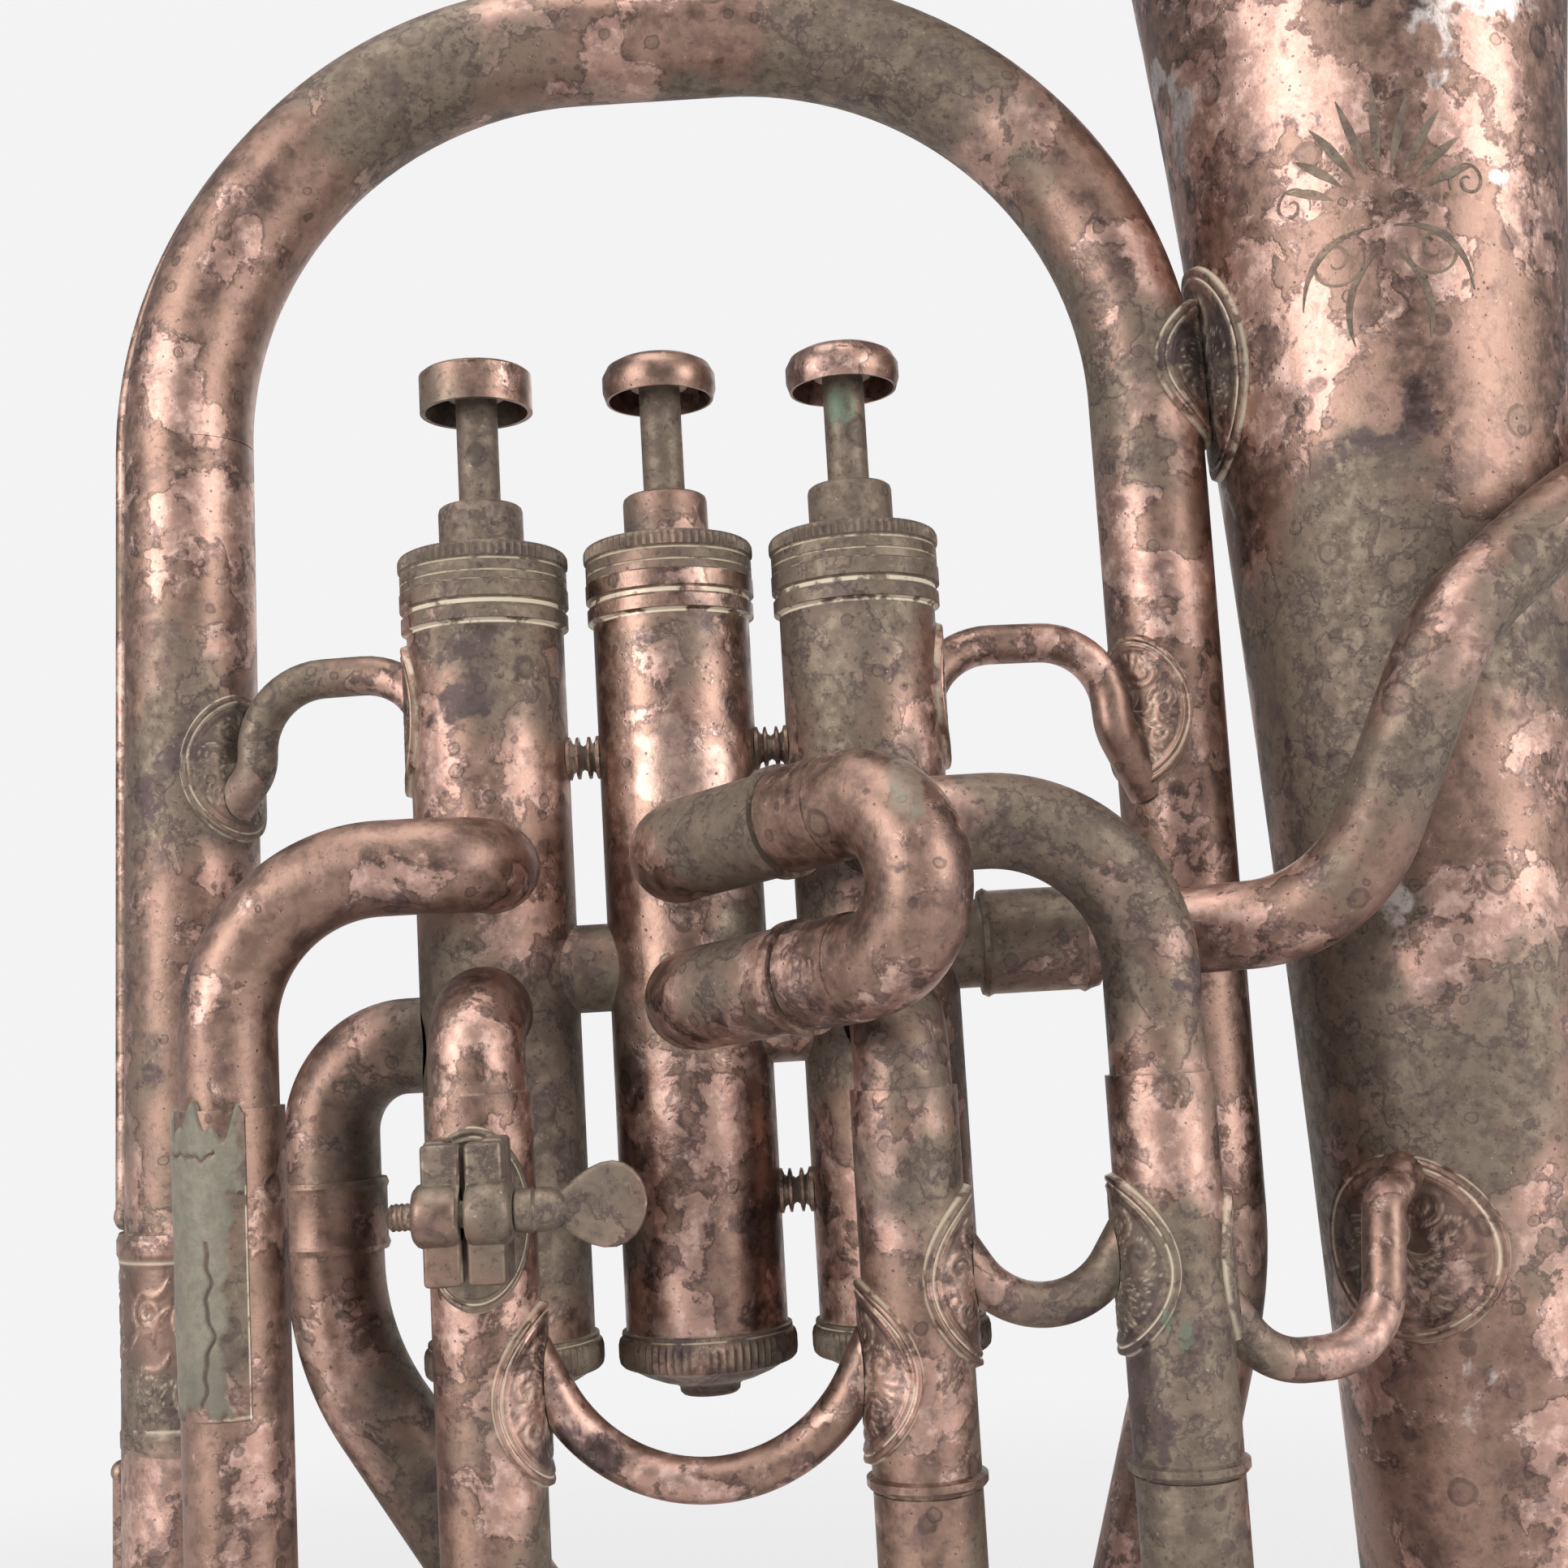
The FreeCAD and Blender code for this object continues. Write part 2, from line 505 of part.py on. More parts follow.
def leg_slide(label, valve):
    """The first or the third valve's slide: a branch to the outer leg, an elbow to the inner leg, the legs
    and the crook.  Gives the two legs, left one first, each with its filled form."""
    def own(name):
        return size(f"{label}_{name}")
    inner, outer, top, foot = own("inner_x"), own("outer_x"), own("leg_top_z"), own("leg_foot_z")
    upper, lower, port = own("upper_z"), own("lower_z"), own("port_x")
    tube_end = top - OVERLAP
    branch, _ = pipe(f"{label}_branch", [at(port, -4, upper), at(port, SLIDE_Y, upper), at(outer, SLIDE_Y, upper),
                                         at(outer, SLIDE_Y, tube_end)], [size("knuckle_bend"), size("slide_bend")],
                     "dim.tube_radius", "dim.tube_bore", CASING_SPACES[valve])
    elbow, _ = pipe(f"{label}_elbow", [at(inner, -4, lower), at(inner, SLIDE_Y, lower),
                                       at(inner, SLIDE_Y, tube_end)], [size("knuckle_bend")],
                    "dim.tube_radius", "dim.tube_bore", CASING_SPACES[valve])
    node(f"{label}_slide_upper_branch", branch)
    node(f"{label}_slide_elbow", elbow)
    left, right = sorted((inner, outer))
    legs = [outer_leg(f"{label}_leg_{k}", x, top, foot) for k, x in enumerate((left, right))]
    node(f"{label}_slide_outer_legs", group(f"{label}_legs", *[leg for leg, _ in legs]))
    leg_top = tube_end - own("leg_gap")
    node(f"{label}_slide_crook", crook(f"{label}_crook", left, right, leg_top, foot, own("bow_z")))
    return legs


def second_slide():
    """The short slide of the second valve, which leaves the front of its casing and turns to the right."""
    length, reach = size("second_leg_length"), size("second_bow_centre")
    tubes = []
    for k, corner in enumerate((SECOND_UPPER, SECOND_LOWER)):
        start = Vector(corner.x, BLOCK.y - 4, corner.z)
        spine = route(f"second_leg_route_{k}", [start, corner, corner + SECOND_OUT * length],
                      [size("second_bend")])
        outside = swept(f"second_leg_outside_{k}", spine, "dim.second_leg_radius")
        end = corner + SECOND_OUT * length
        ring = bar(f"second_ring_{k}", end - SECOND_OUT * size("ring_width"), end, "dim.ring_radius - 0.4")
        blank = joined(f"second_leg_blank_{k}", outside, ring)
        socket = bar(f"second_socket_{k}", corner + SECOND_OUT * 6, end, "dim.tube_radius")
        windway = swept(f"second_leg_bore_{k}", spine, "dim.tube_bore")
        tubes.append(less(f"second_leg_{k}", blank, windway, socket, CASING_SPACES[1]))
    node("second_slide_outer_legs", group("second_legs", *tubes))
    bend = size("second_bow_spread") / 2
    far = reach + bend

    def line(start):
        return [SECOND_UPPER + SECOND_OUT * start, SECOND_UPPER + SECOND_OUT * far,
                SECOND_LOWER + SECOND_OUT * far, SECOND_LOWER + SECOND_OUT * start]
    legs = route("second_crook_route", line(size("second_leg_gap")), [bend - TRACE] * 2)
    bow = route("second_bow_route", line(length + 0.4), [bend - TRACE] * 2)
    sleeves = [bar(f"second_sleeve_{k}", corner + SECOND_OUT * (length + 0.4), corner + SECOND_OUT * (length + 9.5),
                   "dim.second_leg_radius") for k, corner in enumerate((SECOND_UPPER, SECOND_LOWER))]
    blank = joined("second_crook_blank", swept("second_crook_legs", legs, "dim.crook_leg_radius"),
                   swept("second_crook_bow", bow, "dim.bow_radius"), *sleeves)
    node("second_slide_crook", less("second_crook", blank, swept("second_crook_bore", legs, "dim.tube_bore")))


FIRST_LEGS = leg_slide("first", 0)
THIRD_LEGS = leg_slide("third", 2)
second_slide()

# ---------------------------------------------------------------- body of the horn


def bell_radius_at(height):
    """The bell's outer radius at a height given from the valve block's point."""
    below_rim = size("bell_rim_z") - height
    offset = size("bell_flare_offset")
    return size("bell_rim_radius") * (offset / (below_rim + offset)) ** size("bell_flare_power")


def bell_profile(name, inset):
    """The bell's half section down its axis: a flare that follows a power of the distance below the rim."""
    steps = 11
    length = size("bell_rim_z") - size("bell_foot_z")
    heights = [size("bell_rim_z") - length * (i / steps) ** 2.2 for i in range(steps + 1)]
    outside = [at(size("bell_x") + bell_radius_at(height) - inset, BODY_Y, height) for height in heights]
    curve = Part.BSplineCurve()
    curve.interpolate(outside)
    return curve


def bell():
    axis_point = at(size("bell_x"), BODY_Y, 0)
    outer, inner = bell_profile("outer", 0.0), bell_profile("inner", size("bell_wall"))
    rim = Part.LineSegment(inner.StartPoint, outer.StartPoint)
    foot = Part.LineSegment(outer.EndPoint, inner.EndPoint)
    section = doc.addObject("Part::Feature", "bell_section")
    section.Shape = Part.Face(Part.Wire([rim.toShape(), outer.toShape(), foot.toShape(), inner.toShape()]))
    filled = doc.addObject("Part::Feature", "bell_filled_section")
    top = Vector(axis_point.x, axis_point.y, outer.StartPoint.z)
    bottom = Vector(axis_point.x, axis_point.y, outer.EndPoint.z)
    filled.Shape = Part.Face(Part.Wire([Part.makeLine(top, outer.StartPoint), outer.toShape(),
                                        Part.makeLine(outer.EndPoint, bottom), Part.makeLine(bottom, top)]))
    turns = []
    for name, source in (("bell_turn", section), ("bell_space", filled)):
        turn = doc.addObject("Part::Revolution", name)
        turn.Source = source
        turn.Axis = UP
        turn.Base = axis_point
        turn.Angle = 360
        turn.Solid = True
        turns.append(turn)
    node("bell", turns[0])
    rim_z = size("bell_rim_z") - size("rim_wire_radius")
    wire = primitive("Torus", "rim_wire", facing(at(size("bell_x"), BODY_Y, rim_z), UP),
                     Radius1="dim.bell_rim_radius - dim.rim_wire_radius", Radius2="dim.rim_wire_radius")
    node("bell_rim_wire", less("bell_rim_wire_cut", wire, turns[1]))
    return turns[1]


BELL_SPACE = bell()
SPLAY = (size("left_foot_x") - size("left_x")) / (size("garland_top_z") - size("bow_shoulder_z"))


def left_x(height):
    """The left leg's axis, which splays slightly towards its foot."""
    return size("left_x") + SPLAY * (height - size("bow_shoulder_z"))


def windway_body():
    """The large tubes, from the right leg over the top bow to the bottom bow."""
    shoulder, bend = size("bow_shoulder_z"), size("top_bow_bend")
    crown = shoulder + bend
    left, right = size("left_x"), size("right_x")
    wall = " - dim.thin_wall"
    bow, bow_space = pipe("top_bow_tube", [at(left, BODY_Y, shoulder), at(left, BODY_Y, crown),
                                           at(right, BODY_Y, crown), at(right, BODY_Y, shoulder)],
                          [bend - TRACE] * 2, "dim.left_radius_top", "dim.left_radius_top" + wall,
                          end_radius="dim.right_radius", end_bore="dim.right_radius" + wall)
    node("top_bow", bow)
    garland_top, garland_foot = size("garland_top_z"), size("garland_foot_z")
    leg_foot = garland_top - 7.6
    leg_line = [at(left, BODY_Y, shoulder), at(left_x(leg_foot), BODY_Y, leg_foot)]
    leg, leg_space = pipe("left_leg_tube", leg_line, [], "dim.left_radius_top", "dim.left_radius_top" + wall,
                          end_radius="dim.left_radius_foot", end_bore="dim.left_radius_foot" + wall)
    node("left_leg", leg)
    right_line = [at(right, BODY_Y, shoulder), at(right, BODY_Y, -95),
                  at(size("main_right_x"), size("main_y"), -161),
                  at(size("main_right_x"), size("main_y"), size("main_leg_foot_z") + size("main_leg_length") - 6)]
    right_leg, right_space = pipe("right_leg_tube", right_line, [60.0, 45.0], "dim.right_radius",
                                  "dim.right_radius" + wall, end_radius="dim.main_tube_radius",
                                  end_bore="dim.main_tube_radius" + wall)
    node("right_leg", right_leg)
    return bow_space, leg_space, right_space


TOP_BOW_SPACE, LEFT_LEG_SPACE, RIGHT_LEG_SPACE = windway_body()
RIGHT_AND_TOP_SPACE = joined("right_and_top_space", TOP_BOW_SPACE, RIGHT_LEG_SPACE)


def bottom_bow():
    """The widening bottom bow from under the garland round to the foot of the bell."""
    left = size("bottom_bow_x")
    right = size("bell_x")
    bend = (right - left) / 2
    tangent = size("bell_foot_z")
    start = size("garland_top_z") - 8.0
    points = [at(left, BODY_Y, start), at(left, BODY_Y, tangent - bend), at(right, BODY_Y, tangent - bend),
              at(right, BODY_Y, tangent)]
    end_radius = f"{bell_radius_at(size('bell_foot_z')):.3f}"
    tube, space = pipe("bottom_bow_tube", points, [bend - TRACE] * 2, "dim.bottom_bow_foot_radius",
                       "dim.bottom_bow_foot_radius - dim.thin_wall", end_radius=end_radius,
                       end_bore=end_radius + " - dim.bell_wall")
    node("bottom_bow", tube)
    return space, left, bend


BOTTOM_BOW_SPACE, BOTTOM_LEFT_X, BOTTOM_BEND = bottom_bow()


def garland():
    """The broad engraved ferrule where the left leg meets the bottom bow, with a flat band at each edge."""
    length = size("garland_top_z") - size("garland_foot_z")
    ring = turned("garland_ring", [
        ("dim.left_radius_foot - 1", "0"), ("dim.garland_radius + 0.1", "0"), ("dim.garland_radius + 0.3", "0.3"),
        ("dim.garland_radius + 0.3", "dim.garland_band"), ("dim.garland_radius", "dim.garland_band + 0.3"),
        ("dim.garland_radius", f"{length} - dim.garland_band - 0.3"),
        ("dim.garland_radius + 0.3", f"{length} - dim.garland_band"),
        ("dim.garland_radius + 0.3", f"{length} - 0.3"), ("dim.garland_radius + 0.1", f"{length}"),
        ("dim.left_radius_foot - 1", f"{length}"),
    ], facing(at(BOTTOM_LEFT_X + 0.2, BODY_Y, size("garland_foot_z")), UP))
    node("garland_ferrule", less("garland", ring, LEFT_LEG_SPACE, BOTTOM_BOW_SPACE))


def bell_ferrule():
    """The plain ferrule over the joint between the bell and the bottom bow."""
    ring = turned("bell_ferrule_ring", [
        ("15", "0"), ("20.4", "0"), ("20.8", "0.8"), ("20.4", "1.6"), ("20.0", "2"),
        ("20.2", "dim.bell_ferrule_height - 2"), ("20.7", "dim.bell_ferrule_height - 0.8"),
        ("20.3", "dim.bell_ferrule_height"), ("15", "dim.bell_ferrule_height"),
    ], facing(at(size("bell_x"), BODY_Y, size("bell_foot_z") - size("bell_ferrule_height") / 2), UP))
    node("bell_ferrule", less("bell_ferrule_cut", ring, BELL_SPACE, BOTTOM_BOW_SPACE))


garland()
bell_ferrule()


def exit_run():
    """From the first valve's exit down to the main slide: an elbow, a ferrule and a widening branch."""
    x, y, height = size("exit_x"), size("exit_y"), size("exit_z")
    ferrule_top, ferrule_foot = size("exit_ferrule_top_z"), size("exit_ferrule_foot_z")
    joint = (ferrule_top + ferrule_foot) / 2
    elbow, _ = pipe("exit_elbow_tube", [at(VALVE_X[0] - 4, 1.2, height), at(x, y, height), at(x, y, joint)],
                    [size("exit_bend")], "dim.exit_radius", "dim.exit_radius - dim.thin_wall", CASING_SPACES[0])
    node("exit_elbow", elbow)
    leg_top = size("main_leg_foot_z") + size("main_leg_length")
    main_x, main_y = size("main_left_x"), size("main_y")
    branch, space = pipe("exit_branch_tube", [at(x, y, joint), at(x, y, -98), at(main_x, main_y, -168),
                                              at(main_x, main_y, leg_top - OVERLAP)], [42.0, 22.0],
                         "dim.exit_radius", "dim.exit_radius - dim.thin_wall",
                         end_radius="dim.main_tube_radius", end_bore="dim.main_tube_radius - dim.thin_wall")
    node("exit_branch", branch)
    ring = turned("exit_ring", [
        ("dim.exit_radius", "0"), ("dim.exit_ferrule_radius", "0"), ("dim.exit_ferrule_radius + 0.3", "0.8"),
        ("dim.exit_ferrule_radius", "1.6"), ("dim.exit_ferrule_radius", f"{ferrule_top - ferrule_foot} - 1.6"),
        ("dim.exit_ferrule_radius + 0.3", f"{ferrule_top - ferrule_foot} - 0.8"),
        ("dim.exit_ferrule_radius", f"{ferrule_top - ferrule_foot}"),
        ("dim.exit_radius", f"{ferrule_top - ferrule_foot}"),
    ], facing(at(x, y, ferrule_foot), UP))
    node("exit_ferrule", less("exit_ferrule_cut", ring, space))
    return space


EXIT_SPACE = exit_run()


def main_slide():
    """The main tuning slide: two fixed legs and the crook that pulls down out of them."""
    foot, length = size("main_leg_foot_z"), size("main_leg_length")
    left, right, y = size("main_left_x"), size("main_right_x"), size("main_y")
    legs = [turned(f"main_leg_{k}", [
        ("dim.main_tube_radius", "0"), ("dim.main_leg_radius + 0.6", "0"), ("dim.main_leg_radius + 0.8", "0.9"),
        ("dim.main_leg_radius", "1.8"), ("dim.main_leg_radius", "dim.main_leg_length"),
        ("dim.main_tube_radius", "dim.main_leg_length"),
    ], facing(at(x, y, foot), UP)) for k, x in enumerate((left, right))]
    trimmed = [less(f"main_leg_trimmed_{k}", leg, space)
               for k, (leg, space) in enumerate(zip(legs, (EXIT_SPACE, RIGHT_LEG_SPACE)))]
    node("main_slide_outer_legs", group("main_legs", *trimmed))
    bend = (right - left) / 2
    bottom = size("main_bow_z") - bend

    def line(height):
        return [at(left, y, height), at(left, y, bottom), at(right, y, bottom), at(right, y, height)]
    inner = route("main_crook_route", line(foot + length - OVERLAP - 1.0), [bend - TRACE] * 2)
    bow = route("main_bow_route", line(foot - size("stop_gap")), [bend - TRACE] * 2)
    key = at((left + right) / 2, y, bottom)
    nipple = bar("water_nipple", key, key - UP * size("key_nipple_length"), "dim.key_nipple_radius")
    blank = joined("main_crook_blank", swept("main_crook_legs", inner, "dim.main_crook_radius"),
                   swept("main_crook_bow", bow, "dim.main_bow_radius"), nipple)
    drain = bar("water_drain", key, key - UP * (size("key_nipple_length") + 1.5), "2")
    windway = swept("main_crook_bore", inner, "dim.main_crook_bore")
    node("main_slide_crook", less("main_crook", blank, windway, drain))
    return swept("main_bow_space", bow, "dim.main_bow_radius"), (left + right) / 2, bottom


MAIN_BOW_SPACE, KEY_X, KEY_Z = main_slide()


def water_key():
    """The water key under the main slide's bow: a saddle, and a lever with its cork pad over the nipple."""
    y = size("main_y")
    pivot = at(KEY_X, size("key_pivot_y"), KEY_Z - size("key_pivot_drop"))
    pad_top = KEY_Z - size("key_nipple_length")
    ears = [box(f"saddle_ear_{k}", pivot + Vector(offset - 0.8, -2.2, -2.2), pivot + Vector(offset + 0.8, 6, 9))
            for k, offset in enumerate((-4.2, 4.2))]
    bridge = box("saddle_bridge", pivot + Vector(-4.2, 2.6, 4.6), pivot + Vector(4.2, 9.4, 9))
    pin_hole = bar("saddle_pin_hole", pivot + LEFT * 8, pivot + RIGHT * 8, "dim.key_pin_hole")
    saddle = less("saddle", joined("saddle_blank", *ears, bridge), MAIN_BOW_SPACE, pin_hole)
    node("water_key_saddle", saddle)
    hub = bar("lever_hub", pivot + LEFT * 3.3, pivot + RIGHT * 3.3, "dim.key_hub_radius")
    pin = bar("lever_pin", pivot + LEFT * 6, pivot + RIGHT * 6, "dim.key_pin_radius")
    arm = box("lever_arm", at(KEY_X - 1.5, y - 14, pad_top - 3.6), at(KEY_X + 1.5, y + 2, pad_top - 2.2))
    cup = bar("lever_cup", at(KEY_X, y, pad_top - 3.6), at(KEY_X, y, pad_top - 1.8), "dim.key_pad_radius + 0.2")
    touch = box("lever_touch", at(KEY_X - 1.6, y - 30, pad_top - 1.8), at(KEY_X + 1.6, y - 14, pad_top - 0.4))
    pearl = bar("lever_pearl", at(KEY_X, y - 31, pad_top - 2.2), at(KEY_X, y - 31, pad_top - 0.2), "5")
    node("water_key_lever", joined("lever", hub, pin, arm, cup, touch, pearl))
    pad = primitive("Cylinder", "pad", facing(at(KEY_X, y, pad_top - 1.8), UP), Radius="dim.key_pad_radius")
    pad.Height = 1.78
    node("water_key_pad", pad)


water_key()


def leadpipe():
    """The leadpipe from the third valve, over the bell's front and round behind it to the receiver."""
    height = size("leadpipe_z")
    points = [at(VALVE_X[2] + 4, 0, height), at(74, 0, height), at(96, -12, -42), at(113, -18.5, -0.5),
              at(134, -15.5, 16), at(155, -4, 26), at(162, 28, 38), at(148, 58, 51), at(121, 69.5, 61)]
    tube, space = pipe("leadpipe_tube", points, [40.0, 22.0, 30.0, 34.0, 20.0, 30.0, 28.0],
                       "dim.leadpipe_radius", "dim.leadpipe_radius - dim.thin_wall", CASING_SPACES[2],
                       end_radius="dim.leadpipe_end_radius", end_bore="dim.leadpipe_end_radius - dim.thin_wall")
    node("leadpipe", tube)
    coupling = turned("coupling_ring", [
        ("dim.leadpipe_radius - 0.5", "0"), ("dim.coupling_radius - 0.2", "0"),
        ("dim.coupling_radius + 0.2", "0.8"), ("dim.coupling_radius - 0.2", "1.6"),
        ("dim.coupling_radius - 0.2", "dim.coupling_length - 3"),
        ("dim.coupling_radius + 0.2", "dim.coupling_length - 2.2"),
        ("dim.coupling_radius - 0.2", "dim.coupling_length - 1.4"),
        ("dim.coupling_radius - 0.6", "dim.coupling_length"), ("dim.leadpipe_radius - 0.5", "dim.coupling_length"),
    ], facing(at(size("coupling_start"), 0, height), RIGHT))
    node("leadpipe_coupling", less("coupling", coupling, space))
    direction = (points[-1] - points[-2]).normalize()
    receiver = turned("receiver", [
        ("3", "0"), ("dim.leadpipe_end_radius + 0.8", "0"), ("dim.receiver_radius - 0.4", "6"),
        ("dim.receiver_radius - 0.4", "dim.receiver_length - 3"), ("dim.receiver_radius", "dim.receiver_length - 2.6"),
        ("dim.receiver_radius", "dim.receiver_length"), ("dim.receiver_bore", "dim.receiver_length"),
        ("dim.receiver_bore", "dim.receiver_length - dim.receiver_depth"),
        ("3", "dim.receiver_length - dim.receiver_depth"),
    ], facing(points[-1] - direction * size("receiver_overlap"), direction))
    node("mouthpiece_receiver", less("receiver_cut", receiver, space))
    return space


LEADPIPE_SPACE = leadpipe()

# ---------------------------------------------------------------- braces and trim


def wrap(name, space, centre, side, tube_radius, height, reach_deg, sleeve=None):
    """A thin rounded plate wrapped round one side of a tube: what a sleeve over the tube and a ball beside it
    share.  The plate reaches round by an angle each way and is highest in its middle."""
    radius = value(f"{tube_radius} + dim.flange_thickness")
    turn = math.cos(math.radians(reach_deg))
    offset = (height / 2) ** 2 / (2 * radius * (1 - turn))
    if sleeve is None:
        sleeve = primitive("Cylinder", name + "_sleeve", facing(centre - UP * height, UP),
                           Radius=f"{tube_radius} + dim.flange_thickness")
        sleeve.Height = 2 * height
    ball = primitive("Sphere", name + "_ball", Placement(centre + side * offset, Rotation()))
    ball.Radius = math.sqrt(radius ** 2 + offset ** 2 - 2 * radius * offset * turn)
    return less(name, within(name + "_blank", sleeve, ball), space)


def rod(name, points, bends, *trims):
    """A bent brace rod, cut to the surfaces that it is soldered to."""
    return less(name, swept(name + "_bar", route(name + "_route", points, bends), "dim.rod_radius"), *trims)


def scoop(name, centre, bend, turn_deg, run, *trims):
    """A brace rod that hangs in a curve below a point, with a straight run up to the leg at each end."""
    turn = math.radians(turn_deg)
    corner = centre - UP * (bend / math.cos(turn))
    reach = bend * math.tan(turn) + run
    ends = [corner + (side * math.cos(turn) + UP * math.sin(turn)) * reach for side in (LEFT, RIGHT)]
    return rod(name, [ends[0], corner, ends[1]], [bend], *trims)


def arch_braces():
    """The two arches from the outer casings to the legs, with their flanges."""
    left_flange = wrap("left_arch_flange", LEFT_LEG_SPACE, at(left_x(-8), BODY_Y, -7.7),
                       (RIGHT + FRONT * 0.53).normalize(), 10.5, 23.8, 56)
    right_flange = wrap("right_arch_flange", RIGHT_LEG_SPACE, at(size("right_x"), BODY_Y, -7.0),
                        (LEFT + FRONT * 0.93).normalize(), size("right_radius"), 24.7, 60)
    casing_left = wrap("left_casing_flange", CASING_SPACES[0], at(VALVE_X[0], 0, -3.9), LEFT,
                       size("casing_radius"), 23.8, 40)
    casing_right = wrap("right_casing_flange", CASING_SPACES[2], at(VALVE_X[2], 0, -4.3),
                        (RIGHT + BACK * 0.2).normalize(), size("casing_radius"), 23.4, 38)
    left = rod("left_arch", [at(-74, 15, -16.5), at(-66.5, 9, -8.6), at(-66.5, 9, 5.0), at(-42.5, 6.5, 5.0),
                             at(-36, 4, -8)], [5, 11, 11],
               left_flange, LEFT_LEG_SPACE, casing_left, CASING_SPACES[0])
    right = rod("right_arch", [at(35.5, 3.5, -9), at(42.6, 6.5, 4.2), at(67.4, 9, 4.2), at(68.2, 9, -10),
                               at(73.5, 13, -20)], [11.5, 11, 7],
                right_flange, RIGHT_LEG_SPACE, casing_right, CASING_SPACES[2])
    node("arch_braces", group("arches", left, right))
    return [left_flange, right_flange, casing_left, casing_right]


def slide_braces():
    """The wide and the narrow U between the slide legs, the U out to the bell, and their flanges."""
    height, radius = size("flange_height"), size("leg_radius")
    (_, _), (_, first_inner) = FIRST_LEGS
    (_, third_inner), (_, third_outer) = THIRD_LEGS
    cap_foot = size("casing_foot_z") - size("bottom_cap_height") - 0.2
    cap_spaces = []
    for valve in (0, 2):
        space = primitive("Cylinder", f"bottom_cap_space_{valve}", facing(at(VALVE_X[valve], 0, cap_foot), UP),
                          Radius="dim.bottom_cap_radius + 0.15", Height="dim.bottom_cap_height + 0.4")
        cap_spaces.append(space)
    inner_x, left, right = size("first_inner_x"), size("third_inner_x"), size("third_outer_x")
    first_plate = less("first_flange_fitted", wrap("first_flange", first_inner, at(inner_x, SLIDE_Y, -101), RIGHT,
                                                   radius, height, 80), cap_spaces[0])
    near_plate = less("third_flange_right_fitted", wrap("third_flange_right", third_inner, at(left, SLIDE_Y, -88.5),
                                                        RIGHT, radius, height, 86), cap_spaces[1])
    lower_plate = less("third_flange_left_fitted", wrap("third_flange_left", third_inner, at(left, SLIDE_Y, -100.5),
                                                        LEFT, radius, height, 91), near_plate, cap_spaces[1])
    far_plate = wrap("outer_flange_left", third_outer, at(right, SLIDE_Y, -88.2), LEFT, radius, height, 88)
    bell_plate = wrap("outer_flange_right", third_outer, at(right, SLIDE_Y, -89), RIGHT, radius, 21, 42)
    wide = scoop("wide_brace", at(0.6, SLIDE_Y, -90.4), 23.5, 62.8, 14,
                 first_plate, lower_plate, near_plate, first_inner, third_inner)
    narrow = scoop("narrow_brace", at(47.75, SLIDE_Y, -81.8), 11.3, 57.7, 9,
                   near_plate, far_plate, lower_plate, third_inner, third_outer)
    node("slide_braces", group("slide_brace_rods", wide, narrow))
    disc_out = Vector(-0.65, -0.76, 0).normalize()
    disc_z = size("disc_z")
    centre = at(size("bell_x"), BODY_Y, disc_z)
    disc_blank = bar("disc_blank", centre + disc_out * (bell_radius_at(disc_z) - 6),
                     centre + disc_out * (bell_radius_at(disc_z) + 3), "dim.disc_radius")
    disc = less("disc", within("disc_shaped", disc_blank, bell_sleeve("disc_sleeve", disc_z)), BELL_SPACE)
    bell_rod = rod("bell_rod", [at(70.3, -20.5, -91.8), at(78.3, -18, -103.3), at(95.8, -13.5, -103.3),
                                at(98.3, -10, -83), at(107, 4, -79)], [11.2, 11.2, 5.0],
                   bell_plate, third_outer, disc, BELL_SPACE)
    node("bell_brace", bell_rod)
    return [first_plate, near_plate, lower_plate, far_plate, bell_plate, disc]


def bell_sleeve(name, height, reach=20.0):
    """A slightly tapered sleeve over the bell about a height, one flange thickness proud of it."""
    sleeve = doc.addObject("Part::Cone", name)
    sleeve.Radius1 = bell_radius_at(height - reach) + size("flange_thickness")
    sleeve.Radius2 = bell_radius_at(height + reach) + size("flange_thickness")
    sleeve.Height = 2 * reach
    sleeve.Placement = Placement(at(size("bell_x"), BODY_Y, height - reach), Rotation())
    return sleeve


ARCH_PLATES = arch_braces()
SLIDE_PLATES = slide_braces()
node("brace_flanges", group("flanges", *ARCH_PLATES, *SLIDE_PLATES))


def bell_leg_leaves():
    """Two leaf plates standing back to back between the right leg and the bell."""
    height = size("leaf_z")
    leg_leaf = less("leg_leaf_fitted", wrap("leg_leaf", RIGHT_AND_TOP_SPACE, at(size("right_x"), BODY_Y, height),
                                            RIGHT, size("right_radius"), 25, 88), BELL_SPACE)
    bell_leaf = wrap("bell_leaf", BELL_SPACE, at(size("bell_x"), BODY_Y, height), LEFT, bell_radius_at(height),
                     36, 29, bell_sleeve("bell_leaf_sleeve", height))
    node("bell_leg_leaves", group("leaves", leg_leaf, less("bell_leaf_fitted", bell_leaf, leg_leaf)))


bell_leg_leaves()


